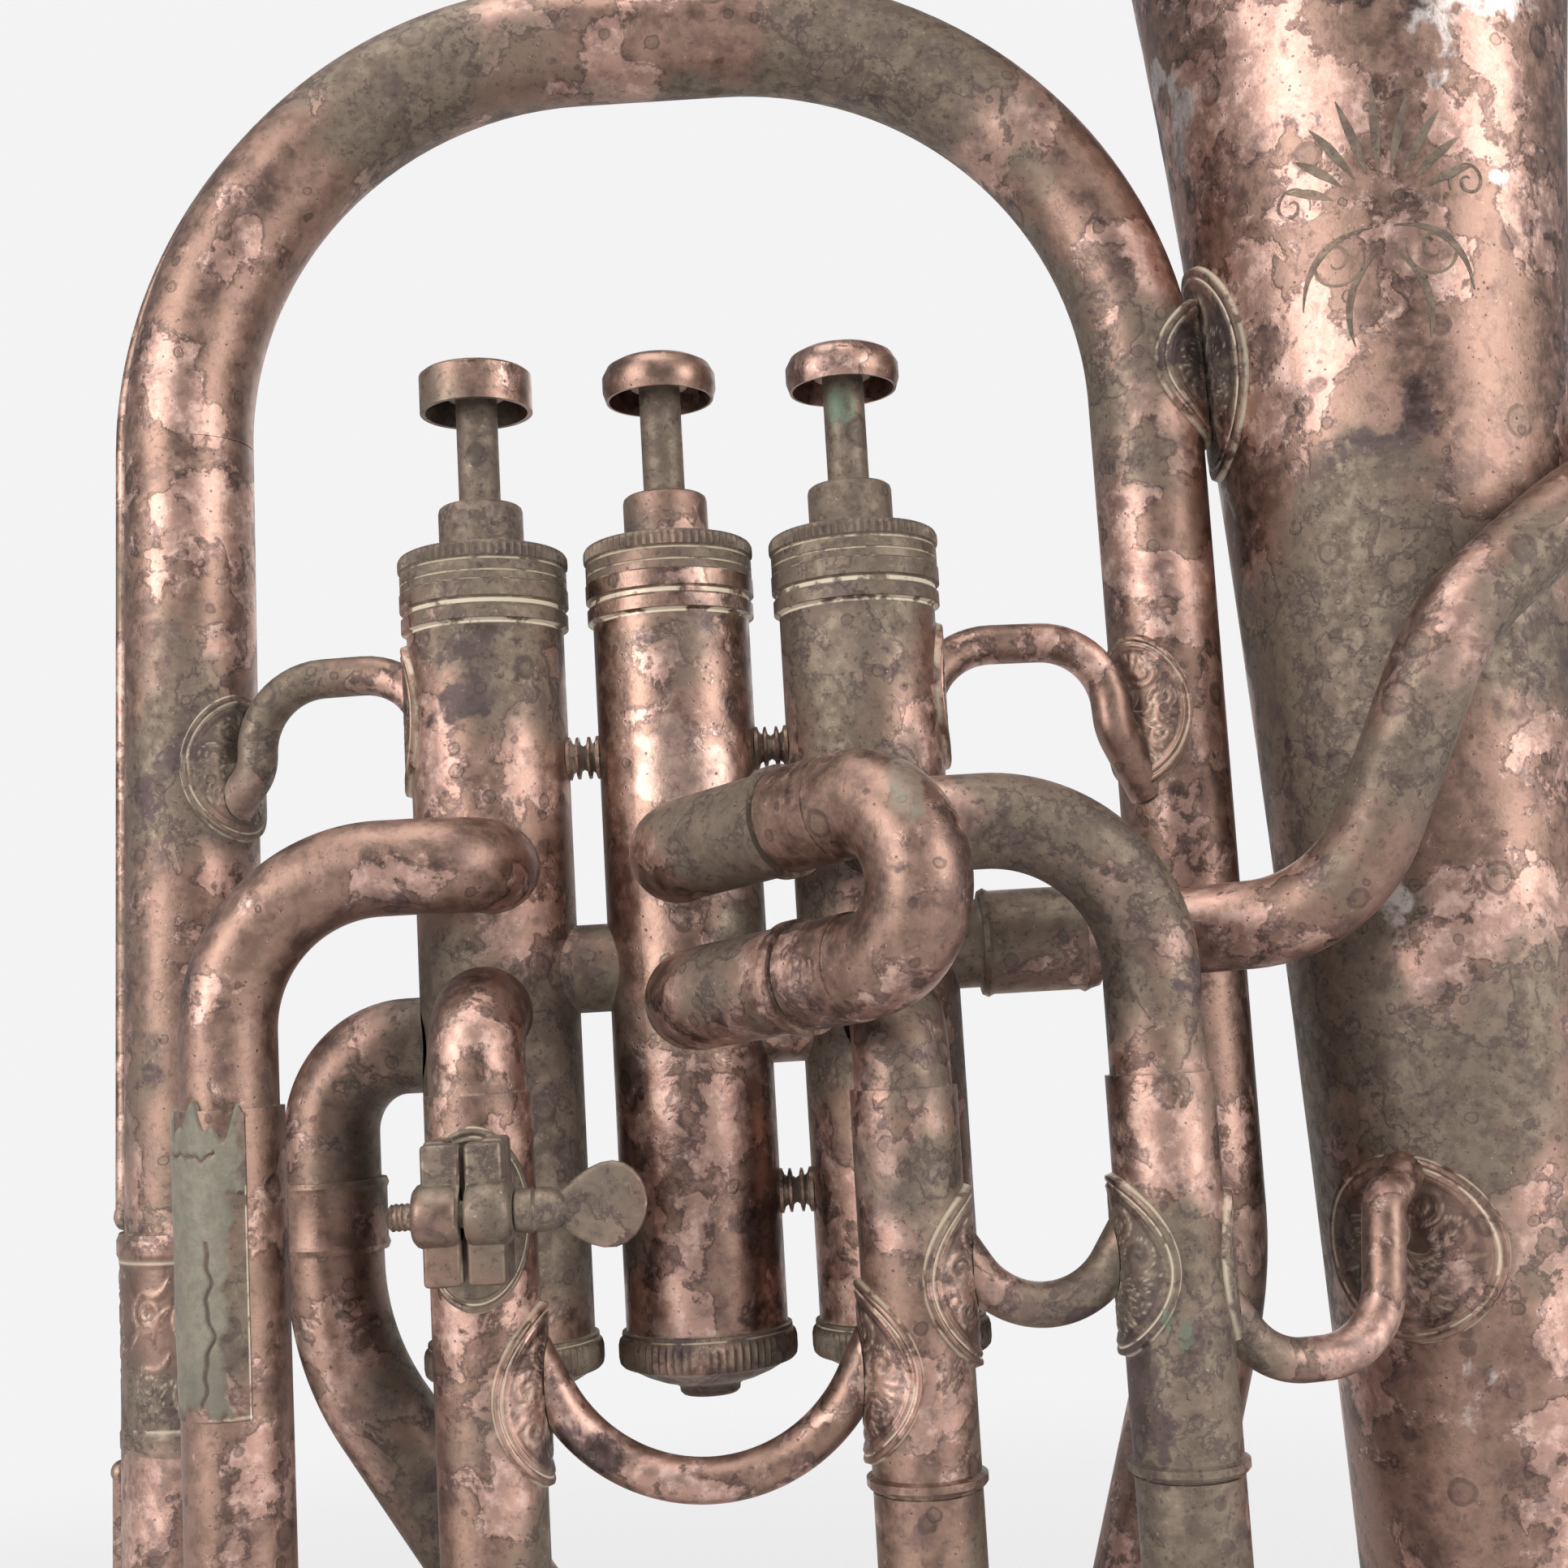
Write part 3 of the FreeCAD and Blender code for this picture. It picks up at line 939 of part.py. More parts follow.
def guard_rails():
    """Thin half-round rails soldered along the outside of the left leg, the top bow and the bottom bow."""
    shoulder, bend = size("bow_shoulder_z"), size("top_bow_bend")
    lift = size("guard_lift")
    top_out = size("left_radius_top") + lift
    foot_out = size("left_radius_foot") + lift
    foot_z = size("garland_top_z") + 2.2
    start = at(left_x(foot_z) - foot_out, BODY_Y, foot_z)
    shoulder_point = at(size("left_x") - top_out, BODY_Y, shoulder)
    arc_radius = bend + top_out
    end_turn = math.radians(size("guard_arc_deg"))
    climb = (shoulder_point - start).normalize()
    leaving = Rotation(BACK, math.degrees(end_turn)).multVec(climb)
    corner = shoulder_point + climb * (arc_radius * math.tan(end_turn / 2))
    end = corner + leaving * (arc_radius * math.tan(end_turn / 2))
    upper_route = route("upper_guard_route", [start, corner, end], [arc_radius])
    ball = primitive("Sphere", "upper_guard_ball", Placement(start, Rotation()), Radius="dim.guard_ball")
    upper_bar = swept("upper_guard_bar", upper_route, "dim.guard_radius")
    upper = less("upper_guard", joined("upper_guard_blank", upper_bar, ball), LEFT_LEG_SPACE, TOP_BOW_SPACE)
    tangent = size("bell_foot_z")
    leg_run = size("garland_top_z") - 8.0 - tangent
    growth = (bell_radius_at(tangent) - size("bottom_bow_foot_radius")) / (leg_run + math.pi * BOTTOM_BEND)
    left_edge = BOTTOM_LEFT_X - size("bottom_bow_foot_radius") - growth * leg_run - lift
    right_edge = size("bell_x") + bell_radius_at(tangent) + lift
    guard_bend = (right_edge - left_edge) / 2
    low = tangent - guard_bend
    middle_x = (left_edge + right_edge) / 2
    reach = math.radians(size("lower_guard_arc_deg"))
    left_corner = at(middle_x - guard_bend * math.tan(math.pi / 4 + math.atan(growth) / 2), BODY_Y, low)
    far_corner = at(middle_x + guard_bend * math.tan(reach / 2), BODY_Y, low)
    lower_end = at(middle_x + guard_bend * math.sin(reach), BODY_Y, tangent - guard_bend * math.cos(reach))
    start_z = size("garland_foot_z") - 3.4
    lower_start = left_corner + Vector(growth, 0, 1) * (start_z - low)
    lower_route = route("lower_guard_route", [lower_start, left_corner, far_corner, lower_end],
                        [guard_bend - TRACE] * 2)
    lower_ball = primitive("Sphere", "lower_guard_ball", Placement(lower_start, Rotation()), Radius="dim.guard_ball")
    lower_bar = swept("lower_guard_bar", lower_route, "dim.guard_radius")
    lower = less("lower_guard", joined("lower_guard_blank", lower_bar, lower_ball), BOTTOM_BOW_SPACE)
    node("guard_rails", group("guards", upper, lower))


guard_rails()


def leadpipe_brace():
    """The short post that holds the leadpipe off the bell."""
    height, reach = 46, 8
    anchor = at(size("bell_x"), BODY_Y, height)
    post_end = at(150, 42, height)
    post = bar("leadpipe_post", anchor + (post_end - anchor).normalize() * 20, post_end, "dim.post_radius")
    bell_core = doc.addObject("Part::Cone", "leadpipe_post_bell_core")
    bell_core.Radius1, bell_core.Radius2 = bell_radius_at(height - reach), bell_radius_at(height + reach)
    bell_core.Height = 2 * reach
    bell_core.Placement = Placement(anchor - UP * reach, Rotation())
    node("leadpipe_brace", less("leadpipe_brace_cut", post, bell_core, LEADPIPE_SPACE))


leadpipe_brace()


def lyre_clamp():
    """The lyre clamp on the first slide's inner leg, and its thumbscrew."""
    x = size("first_inner_x")
    screw_z, screw_y = size("clamp_screw_z"), size("clamp_screw_y")
    slit, socket = size("clamp_slit"), size("clamp_socket")
    top, foot = screw_z + 9.6, screw_z - 9.6
    front = SLIDE_Y - size("leg_radius")
    socket_back = front - size("flange_thickness") + 0.15
    (_, _), (_, leg_space) = FIRST_LEGS
    parts = [wrap("clamp_base", leg_space, at(x, SLIDE_Y, screw_z - 1.5), FRONT, size("leg_radius"), 25, 62)]
    for k, side in enumerate((-1, 1)):
        near = x + side * slit / 2
        plate_far, lug_far = x + side * size("clamp_plate_reach"), x + side * size("clamp_lug_reach")
        parts.append(box(f"jaw_plate_{k}", at(min(near, plate_far), screw_y - 1.5, foot),
                         at(max(near, plate_far), front + 3, top)))
        parts.append(bar(f"jaw_lug_{k}", at(near, screw_y, screw_z), at(lug_far, screw_y, screw_z),
                         "dim.clamp_lug_radius"))
    socket_space = box("clamp_socket_space", at(x - socket / 2, socket_back - socket, foot - 5),
                       at(x + socket / 2, socket_back, top + 5))
    hole = bar("clamp_screw_hole", at(x - 20, screw_y, screw_z), at(x + 20, screw_y, screw_z), "dim.screw_hole")
    node("lyre_clamp", less("clamp", joined("clamp_blank", *parts), leg_space, socket_space, hole))
    tip, shoulder = x - 10.2, x + size("clamp_lug_reach") + 0.15
    shank = bar("screw_shank", at(tip, screw_y, screw_z), at(shoulder + 1, screw_y, screw_z), "dim.screw_radius")
    collar = bar("screw_collar", at(shoulder, screw_y, screw_z), at(shoulder + 6, screw_y, screw_z), "2.9")
    paddle = primitive("Ellipsoid", "screw_paddle", facing(at(shoulder + 11.5, screw_y, screw_z), UP),
                       Radius1="5", Radius2="6.6", Radius3="1.6")
    node("lyre_thumbscrew", joined("thumbscrew", shank, collar, paddle))


lyre_clamp()

# ---------------------------------------------------------------- checks and files

doc.recompute()
problems = []
for item in doc.Objects:
    if "Invalid" in item.State or "Error" in item.State:
        problems.append(f"{item.Name}: {item.State}")
for label, item in NODES.items():
    if item.Shape.isNull() or not item.Shape.isValid() or item.Shape.Volume <= 0:
        problems.append(f"{label}: bad shape")
if problems:
    raise SystemExit("\n".join(problems))
for label, item in NODES.items():
    item.Shape.exportStep(f"parts/{label}.step")
print(len(NODES), "sub-parts")
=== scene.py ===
"""Looks for the baritone horn: tarnished plate on brass, with knurled caps and engraved flanges."""

import math

import bmesh
import bpy
import numpy as np
from mathutils import Matrix, Vector


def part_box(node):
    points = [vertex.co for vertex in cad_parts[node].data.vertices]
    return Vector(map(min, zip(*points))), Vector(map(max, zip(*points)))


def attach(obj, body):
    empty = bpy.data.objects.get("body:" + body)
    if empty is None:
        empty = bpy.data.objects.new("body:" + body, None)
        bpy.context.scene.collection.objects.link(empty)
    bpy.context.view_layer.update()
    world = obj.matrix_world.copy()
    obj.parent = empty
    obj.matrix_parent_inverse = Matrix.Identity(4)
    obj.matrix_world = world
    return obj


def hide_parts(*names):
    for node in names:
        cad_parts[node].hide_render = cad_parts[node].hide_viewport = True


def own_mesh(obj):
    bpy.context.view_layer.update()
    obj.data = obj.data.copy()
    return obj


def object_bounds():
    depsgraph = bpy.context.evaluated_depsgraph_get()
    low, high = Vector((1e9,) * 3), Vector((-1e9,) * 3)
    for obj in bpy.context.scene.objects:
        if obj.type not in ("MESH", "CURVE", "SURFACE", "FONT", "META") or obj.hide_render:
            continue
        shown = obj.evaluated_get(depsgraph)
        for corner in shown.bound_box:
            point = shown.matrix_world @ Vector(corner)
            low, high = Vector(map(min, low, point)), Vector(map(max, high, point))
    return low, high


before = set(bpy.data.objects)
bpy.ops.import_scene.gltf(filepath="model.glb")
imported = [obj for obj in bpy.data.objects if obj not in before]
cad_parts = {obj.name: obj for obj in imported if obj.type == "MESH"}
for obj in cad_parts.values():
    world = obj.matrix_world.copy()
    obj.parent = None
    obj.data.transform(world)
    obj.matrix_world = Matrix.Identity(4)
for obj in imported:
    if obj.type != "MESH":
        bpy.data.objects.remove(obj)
cad_low, cad_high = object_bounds()

MM = 0.001
cap_low, cap_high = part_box("top_cap_2")
CAP_TOP = 28.9
BLOCK = Vector(((cap_low.x + cap_high.x) / 2, (cap_low.y + cap_high.y) / 2, cap_high.z - CAP_TOP * MM))
VALVES = (-28.6, 0.0, 28.6)
BODY_Y, SLIDE_Y = 18.0, -21.0
BELL_X, RIGHT_X = 118.4, 78.8
UP, RIGHT = Vector((0, 0, 1)), Vector((1, 0, 0))


def at(x, y, z):
    """A point in metres, from millimetres measured from the valve block's point."""
    return BLOCK + Vector((x, y, z)) * MM


def bell_radius(height):
    """The bell's outer radius in mm at a height in mm above the valve block's point."""
    return 115.0 * (43.3 / (294.0 - height + 43.3)) ** 0.725


# ---------------------------------------------------------------- material nodes


class Graph:
    """Short names for making the nodes of one material."""

    def __init__(self, name):
        self.material = bpy.data.materials.new(name)
        self.material.use_nodes = True
        self.tree = self.material.node_tree
        self.tree.nodes.clear()
        self.place = self.add("ShaderNodeTexCoord").outputs["Object"]

    def add(self, kind, inputs=None, **props):
        made = self.tree.nodes.new(kind)
        for key, setting in props.items():
            setattr(made, key, setting)
        for key, given in (inputs or {}).items():
            socket = made.inputs[key]
            if isinstance(given, bpy.types.NodeSocket):
                self.tree.links.new(given, socket)
            else:
                socket.default_value = given
        return made

    def math(self, operation, a, b=0.0, clamp=False):
        return self.add("ShaderNodeMath", {0: a, 1: b}, operation=operation, use_clamp=clamp).outputs[0]

    def times(self, a, b):
        return self.math("MULTIPLY", a, b)

    def height(self):
        return self.add("ShaderNodeSeparateXYZ", {0: self.place}).outputs["Z"]

    def step(self, source, low, high, to_low=0.0, to_high=1.0):
        """A smooth step of a value from one limit to the other."""
        made = self.add("ShaderNodeMapRange", {"Value": source, "From Min": low, "From Max": high,
                                               "To Min": to_low, "To Max": to_high})
        made.interpolation_type = "SMOOTHSTEP"
        return made.outputs["Result"]

    def mix(self, share, a, b):
        made = self.add("ShaderNodeMix", data_type="RGBA")
        for key, given in ((0, share), (6, a), (7, b)):
            if isinstance(given, bpy.types.NodeSocket):
                self.tree.links.new(given, made.inputs[key])
            else:
                made.inputs[key].default_value = given if key == 0 else (*given, 1.0)
        return made.outputs[2]

    def noise(self, scale, detail=4.0, roughness=0.55, place=None, lift=0.0):
        place = place or self.place
        if lift:
            place = self.shift(place, (lift, lift * 1.7, lift * 0.6))
        return self.add("ShaderNodeTexNoise", {"Vector": place, "Scale": scale, "Detail": detail,
                                               "Roughness": roughness}).outputs["Fac"]

    def shift(self, place, by):
        return self.add("ShaderNodeVectorMath", {0: place, 1: by}, operation="ADD").outputs[0]

    def warp(self, scale, amount):
        """The place, pushed about by a noise."""
        noise = self.add("ShaderNodeTexNoise", {"Vector": self.place, "Scale": scale, "Detail": 3.0})
        centred = self.add("ShaderNodeVectorMath", {0: noise.outputs["Color"], 1: (0.5, 0.5, 0.5)},
                           operation="SUBTRACT").outputs[0]
        scaled = self.add("ShaderNodeVectorMath", {0: centred, "Scale": amount}, operation="SCALE")
        return self.shift(self.place, scaled.outputs[0])

    def near(self, point, radii, place):
        """1 at a point and 0 beyond the radii from it."""
        offset = self.add("ShaderNodeVectorMath", {0: place, 1: tuple(point)}, operation="SUBTRACT")
        scaled = self.add("ShaderNodeVectorMath", {0: offset.outputs[0], 1: tuple(1 / r for r in radii)},
                          operation="MULTIPLY")
        length = self.add("ShaderNodeVectorMath", {0: scaled.outputs[0]}, operation="LENGTH").outputs["Value"]
        return self.step(length, 1.0, 0.72)

    def attribute(self, name):
        return self.add("ShaderNodeAttribute", attribute_name=name).outputs["Fac"]


PINK, BRIGHT_PINK = (0.43, 0.272, 0.222), (0.62, 0.435, 0.37)
BROWN, DEEP = (0.215, 0.140, 0.108), (0.058, 0.040, 0.040)
FILM, SILVER, PALE = (0.185, 0.150, 0.112), (0.62, 0.56, 0.53), (0.36, 0.30, 0.225)
CREAM, VERDIGRIS, SOLDER = (0.62, 0.54, 0.41), (0.15, 0.205, 0.145), (0.188, 0.170, 0.128)


def patina(name, pink=0.5, film=0.5, dark=0.5, silver=0.0, residue=0.6, gloss=0.5, seed=0.0, spots=0.6,
           green=(), solder=(), polished_highlights=(), filled=()):
    """Worn silver plate on brass: bare pink patches, brown and olive films, ringed spots, pale residue and
    painted shade in marked recesses.
    Green spots, solder and polished patches with a painted highlight are (point, radii) pairs, and filled holds
    the heights of grooves with old polish in them."""
    g = Graph(name)
    warped = g.warp(70.0, 0.008)
    broad = g.noise(16.0, 3.0, 0.5, lift=seed + 0.31)
    patch = g.noise(58.0, 7.0, 0.62, warped, seed + 0.13)
    fine = g.noise(360.0, 5.0, 0.65, lift=seed + 0.57)
    grain = g.noise(1500.0, 2.0, 0.6, lift=seed)
    stain = g.noise(41.0, 6.0, 0.6, warped, seed + 0.83)

    pink_area = g.step(g.math("ADD", patch, g.times(g.math("SUBTRACT", fine, 0.5), 0.16)),
                       0.585 - 0.14 * pink, 0.625 - 0.14 * pink)
    colour = g.mix(g.step(fine, 0.34, 0.66), BROWN, tuple(0.55 * a + 0.45 * b for a, b in zip(BROWN, PINK)))
    bare = g.mix(g.step(fine, 0.46, 0.66), PINK, BRIGHT_PINK)
    colour = g.mix(g.times(pink_area, 0.9), colour, bare)
    cloud = g.math("ADD", broad, g.times(g.math("SUBTRACT", stain, 0.5), 0.5))
    film_area = g.times(g.step(cloud, 0.62 - 0.22 * film, 0.72 - 0.22 * film), 0.88)
    colour = g.mix(film_area, colour, g.mix(g.step(fine, 0.38, 0.62), FILM, tuple(c * 0.62 for c in FILM)))
    edge = g.math("ABSOLUTE", g.math("SUBTRACT", patch, 0.605 - 0.14 * pink))
    colour = g.mix(g.times(g.step(edge, 0.022, 0.004), 0.55), colour, DEEP)
    dark_area = g.times(g.step(stain, 0.66 - 0.10 * dark, 0.70 - 0.10 * dark), 0.86)
    colour = g.mix(dark_area, colour, g.mix(g.step(fine, 0.4, 0.6), DEEP, tuple(c * 1.9 for c in DEEP)))

    ring_height = 0.0
    for scale, share, lift in ((105.0, 0.60, 0.2), (240.0, 0.66, 0.7)):
        moved = g.shift(g.warp(420.0, 0.0011), (lift + seed, seed, lift))
        cell = g.add("ShaderNodeTexVoronoi", {"Vector": moved, "Scale": scale, "Randomness": 1.0})
        chance = g.add("ShaderNodeSeparateColor", {0: cell.outputs["Color"]}).outputs
        chosen = g.step(chance[0], share + 0.14 - 0.2 * spots, share + 0.16 - 0.2 * spots)
        size = g.math("MULTIPLY_ADD", chance[1], 0.16)
        size.node.inputs[2].default_value = 0.10
        off = g.math("SUBTRACT", cell.outputs["Distance"], size)
        ring = g.times(g.step(g.math("ABSOLUTE", off), 0.055, 0.015), chosen)
        inside = g.times(g.step(off, 0.0, -0.05), chosen)
        colour = g.mix(g.times(inside, 0.38), colour, g.mix(chance[2], FILM, DEEP))
        colour = g.mix(g.times(ring, 0.5), colour, DEEP)
        ring_height = g.math("ADD", ring, ring_height)

    if silver:
        plate = g.noise(30.0, 6.0, 0.6, g.warp(38.0, 0.02), seed + 0.44)
        rise = g.step(g.height(), BLOCK.z + 0.02, BLOCK.z + 0.26)
        limit = g.math("SUBTRACT", 0.64, g.times(rise, 0.10 + 0.14 * silver))
        area = g.step(g.math("SUBTRACT", plate, limit), 0.0, 0.035)
        colour = g.mix(g.times(area, 0.8), colour, SILVER)
    # Rubbed bare patches, also a painted highlight: bright pink laid on the casing's front.
    for point, radii in polished_highlights:
        rubbed_highlight = g.times(g.near(point, radii, g.warp(190.0, 0.016)), 0.5)
        colour = g.mix(rubbed_highlight, colour, BRIGHT_PINK)
    speckle = g.noise(620.0, 7.0, 0.78, lift=seed + 0.66)
    strength = g.math("ADD", 0.34, g.times(film_area, 0.42))
    colour = g.mix(g.times(g.step(speckle, 0.46, 0.37), strength), colour, DEEP)
    pale = g.times(g.step(speckle, 0.58, 0.68), g.times(strength, 0.6))
    colour = g.mix(pale, colour, PALE)
    specks = g.step(grain, 0.70, 0.76)
    colour = g.mix(g.times(specks, 0.35), colour, CREAM)
    pits = g.add("ShaderNodeTexVoronoi", {"Vector": g.shift(g.place, (seed, 0.2, 0.9)), "Scale": 760.0})
    pit = g.times(g.step(pits.outputs["Distance"], 0.20, 0.08), g.step(fine, 0.50, 0.60))
    colour = g.mix(g.times(pit, 0.6), colour, DEEP)

    tone = g.noise(150.0, 5.0, 0.7, warped, seed + 0.22)
    colour = g.mix(g.step(tone, 0.50, 0.34, 0.0, 0.5), colour, tuple(c * 1.5 for c in DEEP))

    crevice = g.add("ShaderNodeAmbientOcclusion", {"Distance": 0.0022}, samples=6).outputs["AO"]
    dirt = g.times(g.step(crevice, 0.80, 0.42), residue)
    colour = g.mix(g.times(dirt, 0.75), colour, g.mix(g.step(fine, 0.50, 0.60), FILM, CREAM))
    # Painted shade: the recesses marked in the mesh (knurl tooth roots, engraved fields, solder cracks) are
    # darkened towards DEEP.
    colour = g.mix(g.times(g.attribute("hollow"), 0.78), colour, DEEP)
    line = g.attribute("line")
    for level in filled:
        off = g.math("ABSOLUTE", g.math("SUBTRACT", g.height(), level))
        line = g.math("MAXIMUM", line, g.step(off, 0.00042, 0.00022))
    line = g.times(line, g.step(g.noise(210.0, 4.0, 0.6, lift=seed), 0.40, 0.50))
    colour = g.mix(g.times(line, 0.9), colour, CREAM)
    for point, radii in green:
        spot = g.near(point, radii, g.warp(500.0, 0.003))
        colour = g.mix(g.times(spot, g.step(fine, 0.36, 0.60, 0.25, 0.85)), colour, VERDIGRIS)
    metal = g.math("SUBTRACT", 1.0, g.times(film_area, 0.35))
    metal = g.math("SUBTRACT", metal, g.times(g.math("MAXIMUM", dirt, line), 0.8), clamp=True)
    smears = [g.near(point, radii, g.warp(260.0, 0.006)) for point, radii in solder]
    lumps = [g.times(smear, g.step(speckle, 0.40, 0.60, 0.35, 0.9)) for smear in smears]
    for lump in lumps + [g.attribute("solder")]:
        crust = g.mix(g.step(speckle, 0.36, 0.62), tuple(c * 0.72 for c in SOLDER), SOLDER)
        crust = g.mix(g.step(patch, 0.44, 0.62), crust, tuple(c * 0.62 for c in SOLDER))
        colour = g.mix(lump, colour, crust)
        metal = g.times(metal, g.math("SUBTRACT", 1.0, g.times(lump, 0.8)))

    rough = g.step(fine, 0.3, 0.7, 0.50 - 0.22 * gloss, 0.66 - 0.22 * gloss)
    rough = g.math("ADD", rough, g.times(film_area, 0.14))
    rough = g.math("ADD", rough, g.times(dirt, 0.3), clamp=True)
    height = g.math("ADD", g.times(fine, 0.5), g.times(pink_area, -0.22))
    height = g.math("ADD", height, g.times(ring_height, 0.16))
    height = g.math("SUBTRACT", height, g.times(pit, 0.5))
    height = g.math("ADD", height, g.times(grain, 0.18))
    small = g.add("ShaderNodeBump", {"Height": height, "Distance": 0.00016, "Strength": 0.75})
    waves = g.noise(34.0, 2.0, 0.45, lift=seed + 0.9)
    dents = g.add("ShaderNodeBump", {"Height": waves, "Distance": 0.0034, "Strength": 0.6,
                                     "Normal": small.outputs[0]})
    shader = g.add("ShaderNodeBsdfPrincipled", {"Base Color": colour, "Metallic": metal, "Roughness": rough,
                                                "Normal": dents.outputs[0]})
    g.add("ShaderNodeOutputMaterial", {"Surface": shader.outputs[0]})
    return g.material


def plain(name, low, high, scale, roughness, metal=0.0, bump=0.0002, stretch=(1.0, 1.0, 1.0)):
    """A hidden or small part's finish: two colours mixed by a noise, and a little relief."""
    g = Graph(name)
    scaled = g.add("ShaderNodeVectorMath", {0: g.place, 1: stretch}, operation="MULTIPLY").outputs[0]
    grain = g.noise(scale, 5.0, 0.62, scaled)
    broad = g.noise(scale / 9, 3.0, 0.5)
    share = g.math("ADD", g.times(grain, 0.65), g.times(broad, 0.35))
    relief = g.add("ShaderNodeBump", {"Height": grain, "Distance": bump, "Strength": 0.8})
    shader = g.add("ShaderNodeBsdfPrincipled", {
        "Base Color": g.mix(g.step(share, 0.38, 0.62), low, high), "Metallic": metal,
        "Roughness": g.step(grain, 0.3, 0.7, roughness - 0.08, roughness + 0.1), "Normal": relief.outputs[0]})
    g.add("ShaderNodeOutputMaterial", {"Surface": shader.outputs[0]})
    return g.material


BAND_GROOVES = [at(0, 0, z).z for z in (8.9, 11.95)]
METAL = patina("horn_metal", pink=0.55, film=0.55, dark=0.45, gloss=0.42, green=(
    (at(65.2, -28.5, -96.8), (0.0011, 0.004, 0.0024)), (at(62.9, -28.0, -94.8), (0.0006, 0.004, 0.0022))))
BELL = patina("bell_metal", pink=0.62, film=0.5, dark=0.55, silver=1.0, seed=2.1, residue=0.3)
CASING_A = patina("casing_first", pink=0.45, film=0.85, dark=0.3, seed=3.3, residue=1.0, gloss=0.3,
                  filled=BAND_GROOVES)
# The rubbed patch on the second casing's front is also a painted highlight.
CASING_B = patina("casing_second", pink=0.5, film=0.3, dark=0.42, seed=4.2, residue=0.9, gloss=0.78,
                  filled=BAND_GROOVES, polished_highlights=((at(1.5, -11.5, -14.5), (0.0095, 0.01, 0.0058)),))
CASING_C = patina("casing_third", pink=0.5, film=0.45, dark=0.35, seed=5.7, residue=0.9, gloss=0.45,
                  filled=BAND_GROOVES)
CAPS = patina("cap_metal", pink=0.2, film=0.95, dark=0.25, seed=6.4, residue=1.0, gloss=0.3, spots=0.3)
BUTTONS = patina("button_metal", pink=0.45, film=0.35, dark=0.2, seed=7.9, residue=0.7, gloss=0.7, spots=0.2)
STEMS = patina("stem_metal", pink=0.05, film=1.3, dark=0.1, seed=8.8, residue=0.8, gloss=0.3, spots=0.25,
               green=((at(27.8, -3.5, 41.0), (0.0028, 0.003, 0.0042)),))
FITTINGS = patina("fittings_metal", pink=0.34, film=0.38, dark=0.62, seed=9.6, residue=0.8, gloss=0.65,
                  spots=0.4)
SLIDE_B = patina("second_slide_metal", pink=0.4, film=0.55, dark=0.5, seed=10.2, solder=(
    (at(31.5, -51.0, -22.5), (0.0030, 0.006, 0.0080)),))
PATCH = patina("solder_patch", pink=0.2, film=0.9, dark=0.2, seed=11.5, residue=1.0, gloss=0.2, spots=0.1)
NICKEL = plain("piston_nickel", (0.42, 0.40, 0.37), (0.62, 0.60, 0.56), 300.0, 0.24, 1.0, 0.00003,
               (1, 1, 0.05))
STEEL = plain("spring_steel", (0.30, 0.29, 0.27), (0.55, 0.53, 0.50), 500.0, 0.32, 1.0, 0.00003)
FELT = plain("felt_grey", (0.16, 0.15, 0.12), (0.36, 0.33, 0.28), 1900.0, 0.92, 0.0, 0.0004)
CORK = plain("cork_brown", (0.36, 0.22, 0.12), (0.66, 0.47, 0.29), 900.0, 0.85, 0.0, 0.0003)

BY_NODE = {"bell": BELL, "bell_rim_wire": BELL, "valve_casing_1": CASING_A, "valve_casing_2": CASING_B,
           "valve_casing_3": CASING_C, "valve_felts": FELT, "water_key_pad": CORK, "water_key_lever": FITTINGS,
           "water_key_saddle": FITTINGS, "lyre_clamp": FITTINGS, "lyre_thumbscrew": FITTINGS,
           "second_slide_crook": SLIDE_B, "bottom_caps": CAPS, "valve_spacer_bars": FITTINGS,
           "transfer_tubes": CASING_A}
BY_START = (("top_cap", CAPS), ("piston_", NICKEL), ("finger_button", BUTTONS), ("valve_stem", STEMS),
            ("valve_spring", STEEL))
SMOOTH_ANGLE = math.radians(32)
SAME_POINT = 1e-7


def soften(piece, weld=True):
    """Shades a mesh smooth, with its real corners kept."""
    for polygon in piece.data.polygons:
        polygon.use_smooth = True
    if weld:
        joined = piece.modifiers.new("weld", "WELD")
        joined.merge_threshold = 2e-6
    split = piece.modifiers.new("corners", "EDGE_SPLIT")
    split.split_angle = SMOOTH_ANGLE
    split.use_edge_sharp = False


for label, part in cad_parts.items():
    finish = BY_NODE.get(label) or next((m for start, m in BY_START if label.startswith(start)), METAL)
    part.data.materials.clear()
    part.data.materials.append(finish)
    soften(part)

# ---------------------------------------------------------------- mesh pieces


def piece(name, points, faces, material, body, slot, marks=None, replaced=()):
    """A mesh in the frame, from points in mm about the valve block's point, that rides on a body."""
    mesh = bpy.data.meshes.new(name)
    mesh.from_pydata([tuple(BLOCK + Vector(p) * MM) for p in points], [], faces)
    for key, values in (marks or {}).items():
        mesh.attributes.new(key, "FLOAT", "POINT").data.foreach_set("value", np.asarray(values, np.float32))
    form = bmesh.new()
    form.from_mesh(mesh)
    bmesh.ops.remove_doubles(form, verts=form.verts, dist=SAME_POINT)
    bmesh.ops.recalc_face_normals(form, faces=form.faces)
    form.to_mesh(mesh)
    form.free()
    made = bpy.data.objects.new(name, mesh)
    bpy.context.scene.collection.objects.link(made)
    mesh.materials.append(material)
    soften(made, weld=False)
    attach(made, body)
    if replaced:
        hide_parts(*replaced)
    return made


def basis(direction):
    """Two unit vectors across a direction."""
    along = Vector(direction).normalized()
    across = along.orthogonal().normalized()
    return across, along.cross(across), along


